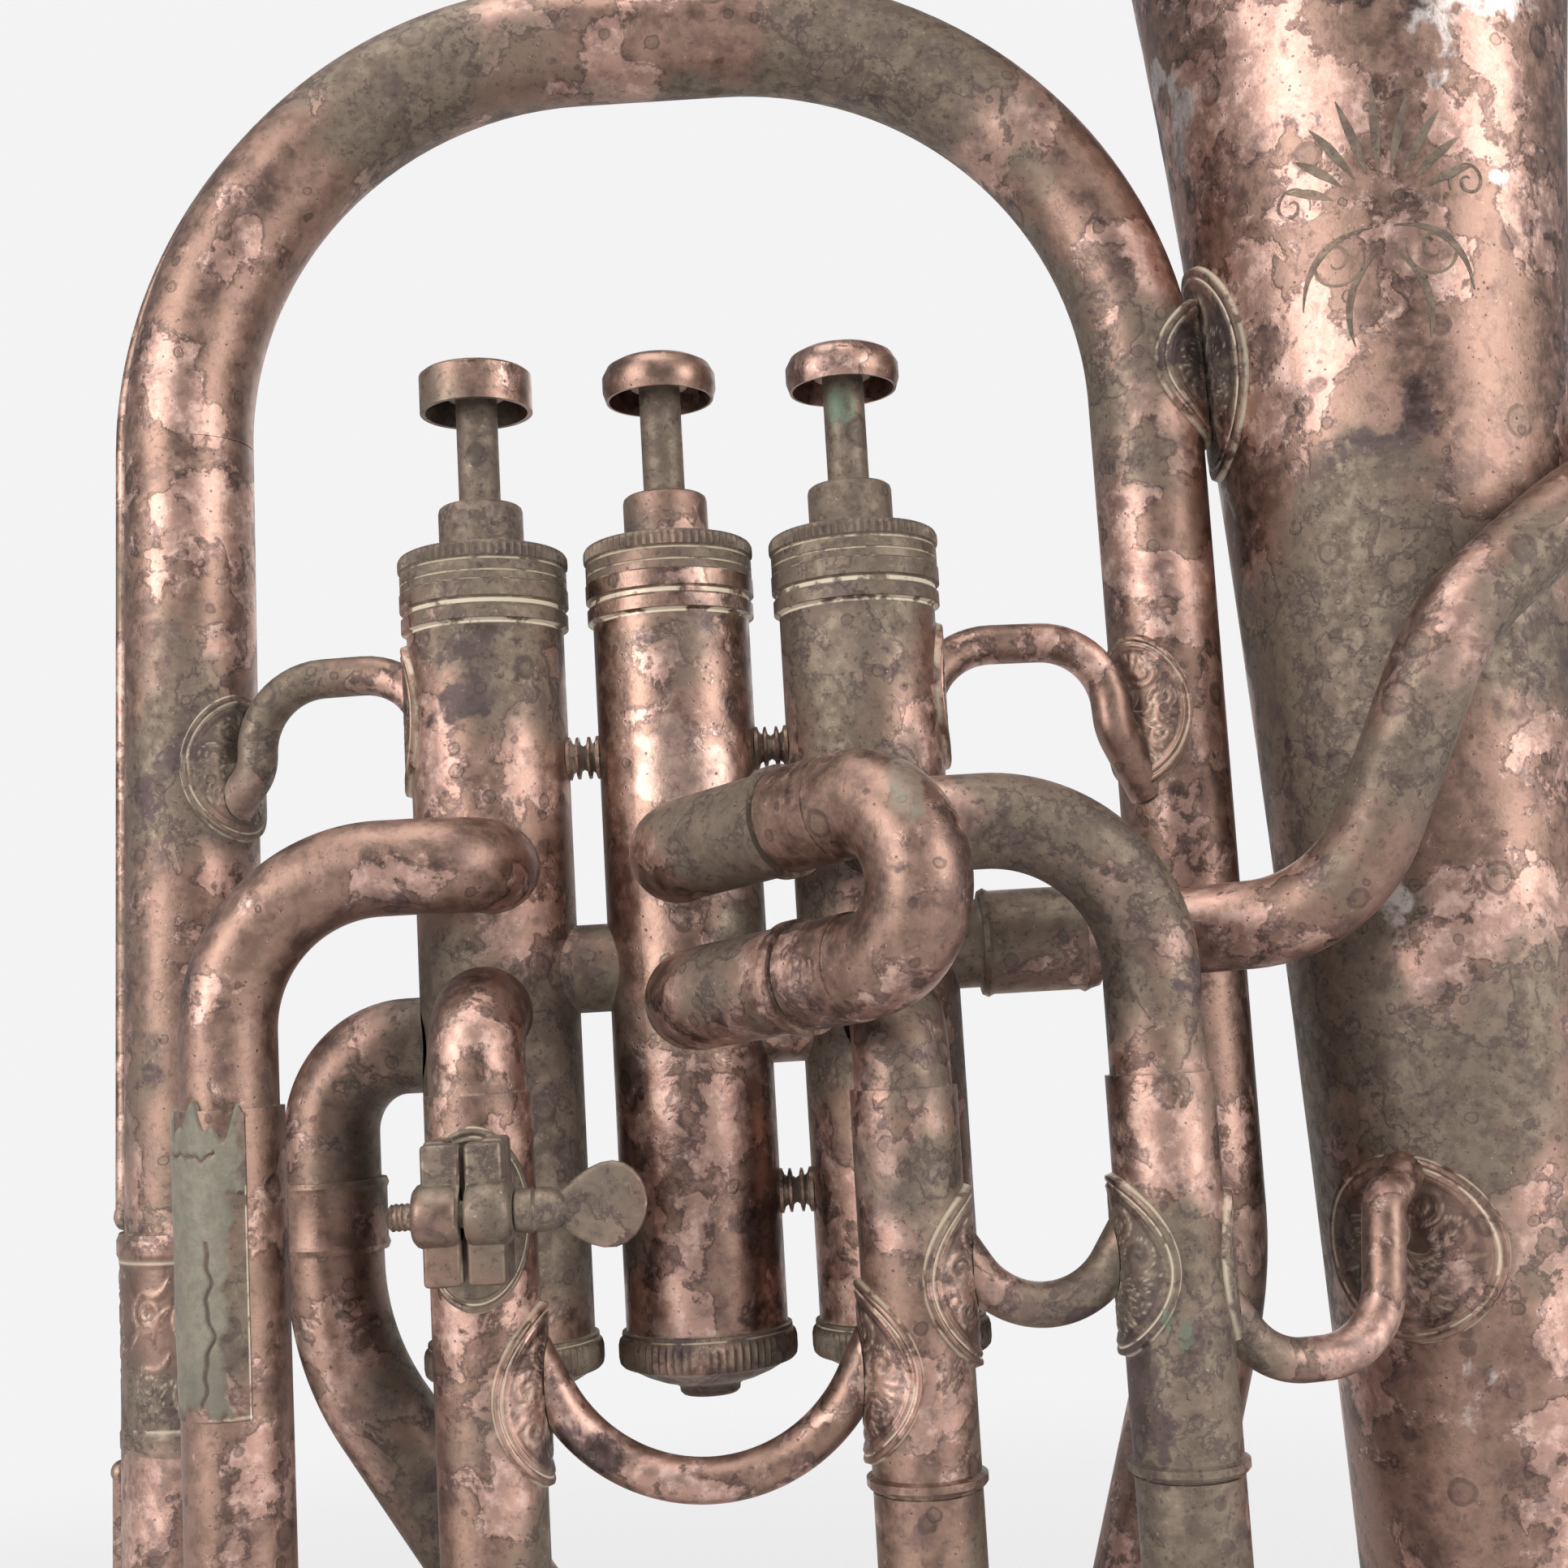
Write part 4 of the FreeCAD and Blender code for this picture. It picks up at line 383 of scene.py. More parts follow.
def ring_faces(rings, segments, closed=False):
    """The faces between rings of points in a row; a closed row also joins its last ring to its first."""
    faces = []
    for i in range(rings if closed else rings - 1):
        this, after = i * segments, (i + 1) % rings * segments
        faces += [(this + k, this + (k + 1) % segments, after + (k + 1) % segments, after + k)
                  for k in range(segments)]
    return faces


def end_faces(rings, segments):
    """The two flat faces that close a row of rings."""
    return [tuple(range(segments))[::-1], tuple((rings - 1) * segments + k for k in range(segments))]


def lathe(outline, origin, axis=UP, segments=96, closed=True):
    """A turned form in mm: the outline is (radius, height, tooth depth) rows.  Gives points and faces."""
    across, other, along = basis(axis)
    points = []
    rows = [row if len(row) == 3 else (*row, 0.0) for row in outline]
    for radius, height, tooth in rows:
        for k in range(segments):
            turn = 2 * math.pi * k / segments
            r = radius - (tooth if k % 2 else 0.0)
            around = across * (r * math.cos(turn)) + other * (r * math.sin(turn))
            points.append(Vector(origin) + around + along * height)
    faces = ring_faces(len(rows), segments, closed)
    return points, faces if closed else faces + end_faces(len(rows), segments)


def together(*forms):
    """Several (points, faces) forms as one."""
    points, faces = [], []
    for some_points, some_faces in forms:
        start = len(points)
        points.extend(some_points)
        faces.extend(tuple(i + start for i in face) for face in some_faces)
    return points, faces


CAP_TEETH, CAP_FOOT = 2 * 68, 15.0
CAP_GROOVE, CAP_NECK = 1.45, 3.3
CAP_OUTLINE = [
    (11.95, 0.0), (12.55, 0.0), (12.75, 0.2), (12.75, 1.25), (12.5, CAP_GROOVE), (12.75, 1.65), (12.75, 3.0),
    (12.35, CAP_NECK), (12.55, 3.5, 0.1), (13.0, 3.75, 0.42), (13.05, 4.5, 0.45), (13.0, 5.2, 0.42),
    (12.7, 5.75, 0.3), (12.2, 6.05, 0.05), (11.6, 6.12), (11.2, 5.95), (10.6, 5.95), (8.6, 6.2), (7.0, 6.45),
    (6.6, 6.75), (6.5, 7.3), (6.5, 12.9), (6.35, 13.5), (6.0, 13.8), (5.2, 13.9), (3.9, 13.9), (3.5, 13.7),
    (3.28, 13.3), (3.28, 3.0), (11.95, 3.0)]


def marked(outline, levels):
    """1 at the points of a turned form's rows that are at the given heights."""
    return [float(row[1] in levels) for row in outline for k in range(CAP_TEETH)]


# Painted shade in the knurl's tooth roots.
tooth_root_shade = [0.5 if k % 2 and row[2:] and row[2] > 0.2 else 0.0
               for row in CAP_OUTLINE for k in range(CAP_TEETH)]
for i, x in enumerate(VALVES):
    form = lathe(CAP_OUTLINE, (x, 0, CAP_FOOT), segments=CAP_TEETH)
    piece(f"knurled_top_cap_{i + 1}", *form, CAPS, "horn", "valve_metal",
          {"line": marked(CAP_OUTLINE, (CAP_GROOVE, CAP_NECK)), "hollow": tooth_root_shade}, [f"top_cap_{i + 1}"])

FOOT_Z, FOOT_GROOVE = -106.0, 8.95
FOOT_OUTLINE = [
    (0.0, 0.35), (2.6, 0.1), (4.0, 0.05), (4.4, 0.45), (4.5, 1.2), (5.3, 1.75), (7.5, 2.35), (9.6, 3.2),
    (11.4, 4.2), (12.2, 4.5), (12.6, 4.62, 0.1), (13.05, 5.1, 0.4), (13.2, 6.0, 0.45), (13.2, 7.6, 0.45),
    (13.0, 8.4, 0.35), (12.6, 8.8, 0.05), (12.35, FOOT_GROOVE), (12.6, 9.15), (12.55, 9.55), (12.2, 9.7),
    (10.75, 9.7), (10.75, 13.7), (9.45, 13.7), (9.45, 7.0), (0.0, 5.5)]
form = together(*(lathe(FOOT_OUTLINE, (x, 0, FOOT_Z), segments=CAP_TEETH) for x in VALVES))
piece("knurled_bottom_caps", *form, CAPS, "horn", "valve_metal",
      {"line": marked(FOOT_OUTLINE, (FOOT_GROOVE,)) * len(VALVES)}, ["bottom_caps"])

CASING_R = 11.95
BAR_HEIGHTS = (-11.0, -77.5)
BAR_OUTLINE = [
    (2.6, 11.6), (3.3, 11.8), (3.3, 12.3), (2.4, 12.6), (2.1, 13.0), (3.2, 13.25), (3.25, 13.6), (2.1, 13.85),
    (1.8, 14.3), (2.1, 14.75), (3.25, 15.0), (3.2, 15.35), (2.1, 15.6), (2.4, 16.0), (3.3, 16.3), (3.3, 16.8),
    (2.6, 17.0)]
bars = [lathe(BAR_OUTLINE, (x, 0, z), RIGHT, 40, closed=False) for x in VALVES[:2] for z in BAR_HEIGHTS]
piece("turned_spacer_bars", *together(*bars), FITTINGS, "horn", "valve_metal", None, ["valve_spacer_bars"])


def spiral(centre, radius, turns, start, hand):
    """A scroll: points of a curl that tightens, with a stroke half width for each."""
    t = np.linspace(0, 1, 70)
    r = radius * (1 - 0.86 * t)
    a = start + hand * turns * 2 * math.pi * t
    half_width = 0.13 + 0.17 * np.sin(math.pi * t)
    return np.column_stack([centre[0] + r * np.cos(a), centre[1] + r * np.sin(a), half_width])


def leaf_stroke(start, end, bow, width):
    """A curved stroke, thick in its middle."""
    t = np.linspace(0, 1, 30)[:, None]
    a, b = np.array(start, float), np.array(end, float)
    side = np.array([-(b - a)[1], (b - a)[0]]) * bow
    line = a + (b - a) * t + side * (4 * t * (1 - t))
    return np.column_stack([line, 0.08 + width * np.sin(math.pi * t[:, 0])])


def scrollwork(half_width, half_height, seed):
    """A generic arrangement of curls and leaf strokes inside an oval."""
    rng = np.random.default_rng(seed)
    strokes = []
    reach = min(half_width, half_height)
    for k in range(7):
        turn = 2 * math.pi * (k + 0.25) / 7
        centre = np.array([math.cos(turn) * half_width, math.sin(turn) * half_height]) * 0.53
        hand = 1 if k % 2 else -1
        strokes.append(spiral(centre, reach * 0.24, 1.55, turn + 2.4 * hand + rng.uniform(-0.3, 0.3), hand))
        for j in range(3):
            away = turn + hand * (0.28 + 0.22 * j)
            tip = np.array([math.cos(away) * half_width, math.sin(away) * half_height]) * (0.78 - 0.05 * j)
            strokes.append(leaf_stroke(centre * (0.8 + 0.1 * j), tip, 0.25 * hand, 0.22))
        strokes.append(leaf_stroke((0, 0), centre * 0.72, 0.35 * hand, 0.26))
    return np.vstack(strokes)


STROKE_EDGE = (0.3, 0.14)


def stroke_depth(flat, strokes):
    """How far inside a stroke each point of a flat pattern is, from 0 outside to 1 on its line."""
    depth = np.zeros(len(flat))
    for start in range(0, len(flat), 1500):
        part_of = flat[start:start + 1500]
        gap = np.linalg.norm(part_of[:, None, :] - strokes[None, :, :2], axis=2)
        depth[start:start + 1500] = np.clip(1.25 - gap / (strokes[None, :, 2] * 1.7), 0, 1).max(axis=1)
    return depth


# A plate's parts, as shares of the way from its middle to its edge: the end of the engraved field, the start of
# the rim, where the edge turns down, then the middles and widths of the rim's lines, its groove and its edge.
SPOKES, FIELD_RINGS, RIM_RINGS = 150, 24, 22
FIELD_END, RIM_START, TURN_DOWN = 0.80, 0.815, 0.965
INNER_LINE, OUTER_LINE, GROOVE, EDGE = (0.845, 0.018), (0.935, 0.026), (0.89, 0.012), (0.985, 0.012)
PLATE_THICKNESS, PLATE_ROOT = 0.95, -0.3


def peak(values, middle, width):
    """1 at a middle value, and less on both sides of it."""
    return np.exp(-((values - middle) / width) ** 2)


def plate_limit(turns, reach):
    """How far a plate's edge is in each direction, for a round plate bent over a tube."""
    low, high = np.zeros(SPOKES), np.full(SPOKES, 1.6)
    for _ in range(40):
        middle = (low + high) / 2
        angle = np.clip(reach * middle * np.cos(turns), -math.pi, math.pi)
        rounded = (np.cos(angle) - math.cos(reach)) / (1 - math.cos(reach))
        inside = (middle * np.sin(turns)) ** 2 <= rounded
        low, high = np.where(inside, middle, low), np.where(inside, high, middle)
    return low


def plate(name, axis_point, side, radius_at, height, reach_deg, seed, slot="horn_metal", disc=None,
          engraved=True, material=None, replaced=("brace_flanges",), lift=0.0):
    """A rounded plate wrapped on a tube or on the bell, with a double rim and raised scrollwork.
    radius_at gives the tube's radius at a height from the axis point, in mm. The plate reaches reach_deg to
    each side of its middle, or disc mm where it is round, and lift raises its face."""
    side = Vector(side).normalized()
    across = UP.cross(side)
    reach, half = math.radians(reach_deg), height / 2
    turns = np.linspace(0, 2 * math.pi, SPOKES, endpoint=False)
    limit = np.ones(SPOKES) if disc else plate_limit(turns, reach)
    shares = np.concatenate([np.linspace(0.03, FIELD_END, FIELD_RINGS),
                             np.linspace(RIM_START, 1.0, RIM_RINGS)])
    half_width = disc or reach * radius_at(0)
    rho = np.repeat(shares, SPOKES)
    a = np.tile(limit * np.cos(turns), len(shares)) * rho
    b = np.tile(limit * np.sin(turns), len(shares)) * rho
    flat = np.column_stack([a * half_width, b * half])
    depth = stroke_depth(flat, scrollwork(half_width, half, seed)) if engraved else np.zeros(len(flat))
    inner = np.clip((FIELD_END - rho) / 0.03, 0, 1)
    rim = peak(rho, *INNER_LINE) + peak(rho, *OUTER_LINE)
    groove = peak(rho, *GROOVE)
    rise = 0.16 * depth * inner - 0.20 * inner * engraved + 0.12 * rim - 0.18 * groove
    fall = np.clip((rho - TURN_DOWN) / (1 - TURN_DOWN), 0, 1)
    points = []

    def on_surface(a, b, rise):
        h = b * half
        base = radius_at(h)
        angle = math.asin(max(-1.0, min(1.0, a * half_width / base))) if disc else a * reach
        r = base + rise
        return Vector(axis_point) + side * (r * math.cos(angle)) + across * (r * math.sin(angle)) + UP * h

    for k in range(len(rho)):
        top = PLATE_THICKNESS + lift + rise[k]
        points.append(on_surface(a[k], b[k], top * (1 - fall[k]) - 0.15 * fall[k]))
    faces = ring_faces(len(shares), SPOKES)
    centre = len(points)
    points.append(on_surface(0, 0, PLATE_THICKNESS + lift - 0.2 * engraved))
    faces.extend((centre, k, (k + 1) % SPOKES) for k in range(SPOKES))
    edge_start = ring_start = (len(shares) - 1) * SPOKES
    for share in (0.8, 0.6, 0.4, 0.2):
        start = len(points)
        for k in range(SPOKES):
            j = edge_start + k
            points.append(on_surface(a[j] * share, b[j] * share, PLATE_ROOT))
            n = (k + 1) % SPOKES
            faces.append((ring_start + k, start + k, start + n, ring_start + n))
        ring_start = start
    back = len(points)
    points.append(on_surface(0, 0, PLATE_ROOT))
    faces.extend((back, ring_start + (k + 1) % SPOKES, ring_start + k) for k in range(SPOKES))
    hidden = np.zeros(len(points) - len(rho))
    # Painted shade in the engraved field between the raised strokes.
    hollow = np.clip(inner * (1 - depth * 1.6), 0, 1) * 0.55 * engraved
    line = np.clip(groove + 0.8 * peak(rho, *EDGE) + 0.5 * inner * engraved * peak(depth, *STROKE_EDGE), 0, 1)
    piece(name, points, faces, material or METAL, "horn", slot,
          {"hollow": np.concatenate([hollow, hidden]), "line": np.concatenate([line, hidden])}, replaced)


def tube(radius):
    """A straight tube's radius, the same at every height."""
    return lambda height: radius


LEG = tube(7.5)
# The left leg leans a little outwards, from its top at height 46 to its foot at height -79.5.
LEFT_FOOT = -78.8 + (46.0 + 8.0) * (80.7 - 78.8) / (-79.5 - 46.0)
plate("left_arch_flange", (LEFT_FOOT, BODY_Y, -7.7), (1, -0.53, 0), tube(10.5), 23.8, 56, 11)
plate("right_arch_flange", (RIGHT_X, BODY_Y, -7.0), (-1, -0.93, 0), tube(9.1), 24.7, 60, 12)
plate("left_casing_flange", (VALVES[0], 0, -3.9), (-1, 0, 0), tube(CASING_R), 23.8, 40, 13)
plate("right_casing_flange", (VALVES[2], 0, -4.3), (1, 0.2, 0), tube(CASING_R), 23.4, 38, 14)
plate("first_slide_flange", (-29.2, SLIDE_Y, -101), (1, 0, 0), LEG, 25, 80, 15)
plate("third_slide_near_flange", (30, SLIDE_Y, -88.5), (1, 0, 0), LEG, 25, 86, 16, lift=0.1)
plate("third_slide_lower_flange", (30, SLIDE_Y, -100.5), (-1, 0, 0), LEG, 25, 91, 17)
plate("third_slide_far_flange", (65.7, SLIDE_Y, -88.2), (-1, 0, 0), LEG, 25, 88, 18)
plate("third_slide_bell_flange", (65.7, SLIDE_Y, -89), (1, 0, 0), LEG, 21, 42, 19, lift=0.1)
DISC_Z, LEAF_Z = -91.3, 49.0
plate("bell_disc", (BELL_X, BODY_Y, DISC_Z), (-0.65, -0.76, 0), lambda h: bell_radius(DISC_Z + h), 28, 0, 20,
      disc=14.0)
plate("leg_leaf", (RIGHT_X, BODY_Y, LEAF_Z), (1, 0, 0), tube(9.3), 25, 88, 21, replaced=["bell_leg_leaves"])
plate("bell_leaf", (BELL_X, BODY_Y, LEAF_Z), (-1, 0, 0), lambda h: bell_radius(LEAF_Z + h), 36, 29, 22,
      replaced=["bell_leg_leaves"])


def garland():
    """The engraved ferrule on the left leg, between its two flat bands."""
    segments, rows, length, radius, bore, foot = 260, 96, 33.3, 11.4, 10.2, (-81.0, BODY_Y, -112.8)
    band_width = 4.1
    heights = np.linspace(0, length, rows)
    turns = np.linspace(0, 2 * math.pi, segments, endpoint=False)
    turn, height = np.tile(turns, rows), np.repeat(heights, segments)
    strokes = []
    for k in range(8):
        middle = (k + 0.5) * 2 * math.pi * radius / 8
        hand = 1 if k % 2 else -1
        for z, r in ((10.5, 3.0), (21.5, 3.6)):
            strokes.append(spiral((middle, z), r, 1.7, 1.2 * hand, hand))
            strokes.append(leaf_stroke((middle - 3.6, z - 5.4), (middle + 2.8, z - 2.4), 0.3 * hand, 0.3))
            strokes.append(leaf_stroke((middle + 3.9, z + 5.4), (middle - 1.4, z + 3.4), 0.3 * hand, 0.3))
            strokes.append(leaf_stroke((middle + 1.2 * hand, z - 4.6), (middle + 4.2 * hand, z + 1.0), 0.2,
                                       0.26))
    strokes = np.vstack(strokes)
    depth = stroke_depth(np.column_stack([turn * radius, height]), strokes)
    from_end = np.minimum(height, length - height)
    field = np.clip((from_end - band_width - 0.3) / 0.4, 0, 1)
    band = np.clip(1.6 - np.abs(from_end - 2.1), 0, 0.4)
    r = radius + 0.75 * band - 0.12 * field + 0.16 * depth * field
    r = np.where(from_end < 0.2, radius - 0.1, r)
    rows_of = list(zip(r, turn, height)) + [(bore, t, h) for h in (length, 0.0) for t in turns]
    points = [(foot[0] + q * math.cos(t), foot[1] + q * math.sin(t), foot[2] + h) for q, t, h in rows_of]
    hidden = np.zeros(2 * segments)
    # Painted shade in the garland's engraved field.
    hollow = np.clip(field * (1 - 1.6 * depth), 0, 1) * 0.4
    edge = np.clip(1 - np.abs(from_end - band_width) / 0.3, 0, 1)
    line = np.clip(edge + 0.5 * field * peak(depth, *STROKE_EDGE), 0, 1)
    faces = ring_faces(rows + 2, segments, closed=True)
    piece("engraved_garland", points, faces, METAL, "horn", "horn_metal",
          {"hollow": np.concatenate([hollow, hidden]), "line": np.concatenate([line, hidden])},
          ["garland_ferrule"])


garland()


def ornament():
    """A plain palmette of tapered strokes on the front of the bell."""
    middle_z, facing = 64.0, math.atan2(-0.97, -0.24)
    root, crest = -0.25, 0.06
    strokes = []
    for k in range(-4, 5):
        lean = math.radians(17 * k)
        start, end = 5.5 + 0.5 * abs(k), 19.5 - 1.1 * abs(k)
        strokes.append(leaf_stroke((start * math.sin(lean), start * math.cos(lean)),
                                   (end * math.sin(lean), end * math.cos(lean)), 0.05 * k / 4, 0.75))
    for hand in (-1, 1):
        strokes.append(spiral((hand * 7.5, -6.5), 4.6, 1.5, 1.1 * hand + math.pi / 2, hand))
        strokes.append(spiral((hand * 13.5, 3.5), 3.2, 1.4, 2.0 * hand + math.pi / 2, -hand))
        strokes.append(leaf_stroke((hand * 1.5, -2.5), (hand * 13, -13), 0.22 * hand, 0.6))
        strokes.append(leaf_stroke((hand * 1.0, -6.0), (hand * 5.5, -20), 0.16 * hand, 0.6))
    forms = []
    for stroke in strokes:
        points = []
        line, wide = stroke[:, :2], stroke[:, 2]
        along = np.gradient(line, axis=0)
        along /= np.linalg.norm(along, axis=1)[:, None]
        side = np.column_stack([-along[:, 1], along[:, 0]])
        for (x, z), (sx, sz), w in zip(line, side, wide):
            for share, rise in ((-1, root), (-0.8, crest), (0.8, crest), (1, root)):
                px, pz = x + share * w * sx, middle_z + z + share * w * sz
                radius = bell_radius(pz)
                turn, r = facing + px / radius, radius + rise
                points.append((BELL_X + r * math.cos(turn), BODY_Y + r * math.sin(turn), pz))
        forms.append((points, ring_faces(len(line), 4) + end_faces(len(line), 4)))
    piece("bell_ornament", *together(*forms), CAPS, "horn", "bell_metal")


ornament()

# ---------------------------------------------------------------- lyre clamp and its screw

CLAMP_X, SCREW_Y, SCREW_Z = -29.2, -35.9, -75.0


def soft_box(low, high, bevel):
    """A box with rounded edges, as (points, faces) in mm."""
    form = bmesh.new()
    bmesh.ops.create_cube(form, size=1.0)
    size, middle = Vector(high) - Vector(low), (Vector(high) + Vector(low)) / 2
    for vertex in form.verts:
        vertex.co = Vector(c * s for c, s in zip(vertex.co, size)) + middle
    bmesh.ops.bevel(form, geom=form.edges[:] + form.verts[:], offset=bevel, segments=3, profile=0.5,
                    affect="EDGES")
    form.verts.ensure_lookup_table()
    made = [v.co.copy() for v in form.verts], [tuple(v.index for v in f.verts) for f in form.faces]
    form.free()
    return made


def clamp():
    """Two jaws with round lugs, over the base plate: each is a thick root with a face in front of it."""
    lug = [(3.4, 0.0), (4.0, 0.3), (4.3, 0.9), (4.3, 4.9), (4.0, 5.6), (3.4, 6.1), (2.9, 6.2), (1.93, 6.2),
           (1.93, 0.0)]
    near, groove, far = 0.4, 2.2, 5.4
    forms = []
    for side in (-1, 1):
        for inner, front, back, half_height, bevel in ((groove, -35.0, -28.2, 9.6, 0.7),
                                                       (near, -37.4, -33.9, 9.2, 0.6)):
            low, high = sorted((CLAMP_X + side * inner, CLAMP_X + side * far))
            forms.append(soft_box((low, front, SCREW_Z - half_height),
                                  (high, back, SCREW_Z + half_height), bevel))
        forms.append(lathe(lug, (CLAMP_X + side * near, SCREW_Y, SCREW_Z), RIGHT * side, 48))
    piece("lyre_clamp_jaws", *together(*forms), FITTINGS, "horn", "fittings_metal", None, ["lyre_clamp"])


clamp()
plate("lyre_clamp_base", (CLAMP_X, SLIDE_Y, SCREW_Z - 1.5), (0, -1, 0), LEG, 25, 62, 23, "fittings_metal",
      engraved=False, material=FITTINGS, replaced=["lyre_clamp"])

SCREW_TIP, SHOULDER, PITCH = -39.4, CLAMP_X + 6.6 + 0.15, 0.75


def threaded_shank():
    """The screw's shank, with a single thread and a domed tip."""
    segments, rings, length = 40, 221, SHOULDER + 1 - SCREW_TIP
    points = []
    for i in range(rings):
        x = SCREW_TIP + length * i / (rings - 1)
        dome = min(1.0, math.sqrt(max(0.0, 1 - (1 - min(1.0, (x - SCREW_TIP) / 1.1)) ** 2)) + 0.05)
        for k in range(segments):
            turn = 2 * math.pi * k / segments
            phase = ((x - SCREW_TIP) / PITCH - k / segments) % 1.0
            ridge = 0.22 * (1 - abs(2 * phase - 1)) ** 0.8 if x > SCREW_TIP + 0.6 else 0.1
            r = (1.62 + ridge) * dome
            points.append((x, SCREW_Y + r * math.cos(turn), SCREW_Z + r * math.sin(turn)))
    return points, ring_faces(rings, segments) + end_faces(rings, segments)


def thumb_paddle():
    """The flat thumb piece: rows of (reach, half height, half thickness), with a dished face."""
    outline = [
        (5.0, 1.6, 1.5), (5.9, 2.3, 1.5), (6.9, 3.0, 1.35), (8.2, 4.0, 1.2), (9.8, 4.95, 1.05),
        (11.4, 5.5, 1.0), (13.0, 5.6, 1.0), (14.4, 5.2, 1.0), (15.6, 4.35, 1.0), (16.5, 3.2, 0.95),
        (17.05, 1.9, 0.85), (17.3, 0.6, 0.5), (17.35, 0.0, 0.0)]
    segments, neck = 64, 8.0
    points = []
    for reach, half, thick in outline:
        past_neck = max(0.0, reach - neck)
        for k in range(segments):
            turn = 2 * math.pi * k / segments
            z, y = math.cos(turn), math.sin(turn)
            dish = 1 - 0.42 * max(0.0, 1 - z * z * 1.4) * min(1.0, past_neck / 2.5)
            points.append((SHOULDER + reach, SCREW_Y + math.copysign(abs(y) ** 0.6, y) * thick * dish,
                           SCREW_Z + z * half + 0.05 * past_neck))
    return points, ring_faces(len(outline), segments) + [tuple(range(segments))]


def thumbscrew():
    """A threaded shank, a slotted collar and a dished thumb paddle."""
    collar = [(1.5, 0.0), (2.4, 0.0), (2.8, 0.25), (2.9, 0.8), (2.9, 2.3), (2.55, 2.6), (2.9, 2.9),
              (2.9, 4.6), (2.7, 5.6), (2.2, 6.4), (1.5, 6.9)]
    turned = lathe(collar, (SHOULDER, SCREW_Y, SCREW_Z), RIGHT, 56, closed=False)
    piece("thumbscrew_threaded", *together(threaded_shank(), turned, thumb_paddle()), FITTINGS, "thumbscrew",
          "fittings_metal", None, ["lyre_thumbscrew"])


thumbscrew()

# ---------------------------------------------------------------- valve springs

SPRING_TURNS, SPRING_WIRE, COIL_STEPS, WIRE_SIDES = 7, 0.55, 40, 10


def coil_spring(number):
    """A valve's coil spring, sized to the box of the CAD spring it replaces."""
    node = f"valve_spring_{number}"
    low, high = (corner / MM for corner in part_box(node))
    middle, height = (low + high) / 2, high.z - low.z
    radius = (high.x - low.x) / 2 - SPRING_WIRE
    rings = SPRING_TURNS * COIL_STEPS + 1
    points = []
    for i in range(rings):
        turn = 2 * math.pi * i / COIL_STEPS
        outward = Vector((math.cos(turn), math.sin(turn), 0))
        climb = low.z + SPRING_WIRE + (height - 2 * SPRING_WIRE) * i / (rings - 1)
        centre = Vector((middle.x, middle.y, climb)) + outward * radius
        for k in range(WIRE_SIDES):
            around = 2 * math.pi * k / WIRE_SIDES
            spot = centre + outward * (SPRING_WIRE * math.cos(around)) + UP * (SPRING_WIRE * math.sin(around))
            points.append(spot - BLOCK / MM)
    faces = ring_faces(rings, WIRE_SIDES) + end_faces(rings, WIRE_SIDES)
    made = piece(f"coil_spring_{number}", points, faces, STEEL, "horn", "spring_wire", None, [node])
    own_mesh(made)


for number in (1, 2, 3):
    coil_spring(number)

# ---------------------------------------------------------------- guard end and repair


def finial(name, foot, lean, pointing):
    """A turned end on a guard rail: a neck, a bead and a small tip."""
    rows = [(0.4, -9.0), (1.1, -8.6), (1.25, -6.0), (1.0, -4.2), (0.7, -3.6), (1.15, -3.1), (0.8, -2.6),
            (1.3, -1.9), (1.75, -0.8), (1.8, 0.2), (1.6, 1.1), (1.1, 1.8), (0.3, 2.1)]
    axis = (Vector(pointing) + Vector((lean, 0, 0))).normalized()
    piece(name, *lathe(rows, foot, axis, 32, closed=False), METAL, "horn", "horn_metal")


finial("upper_guard_finial", (-91.75, BODY_Y, -77.3), 0.015, (0, 0, -1))


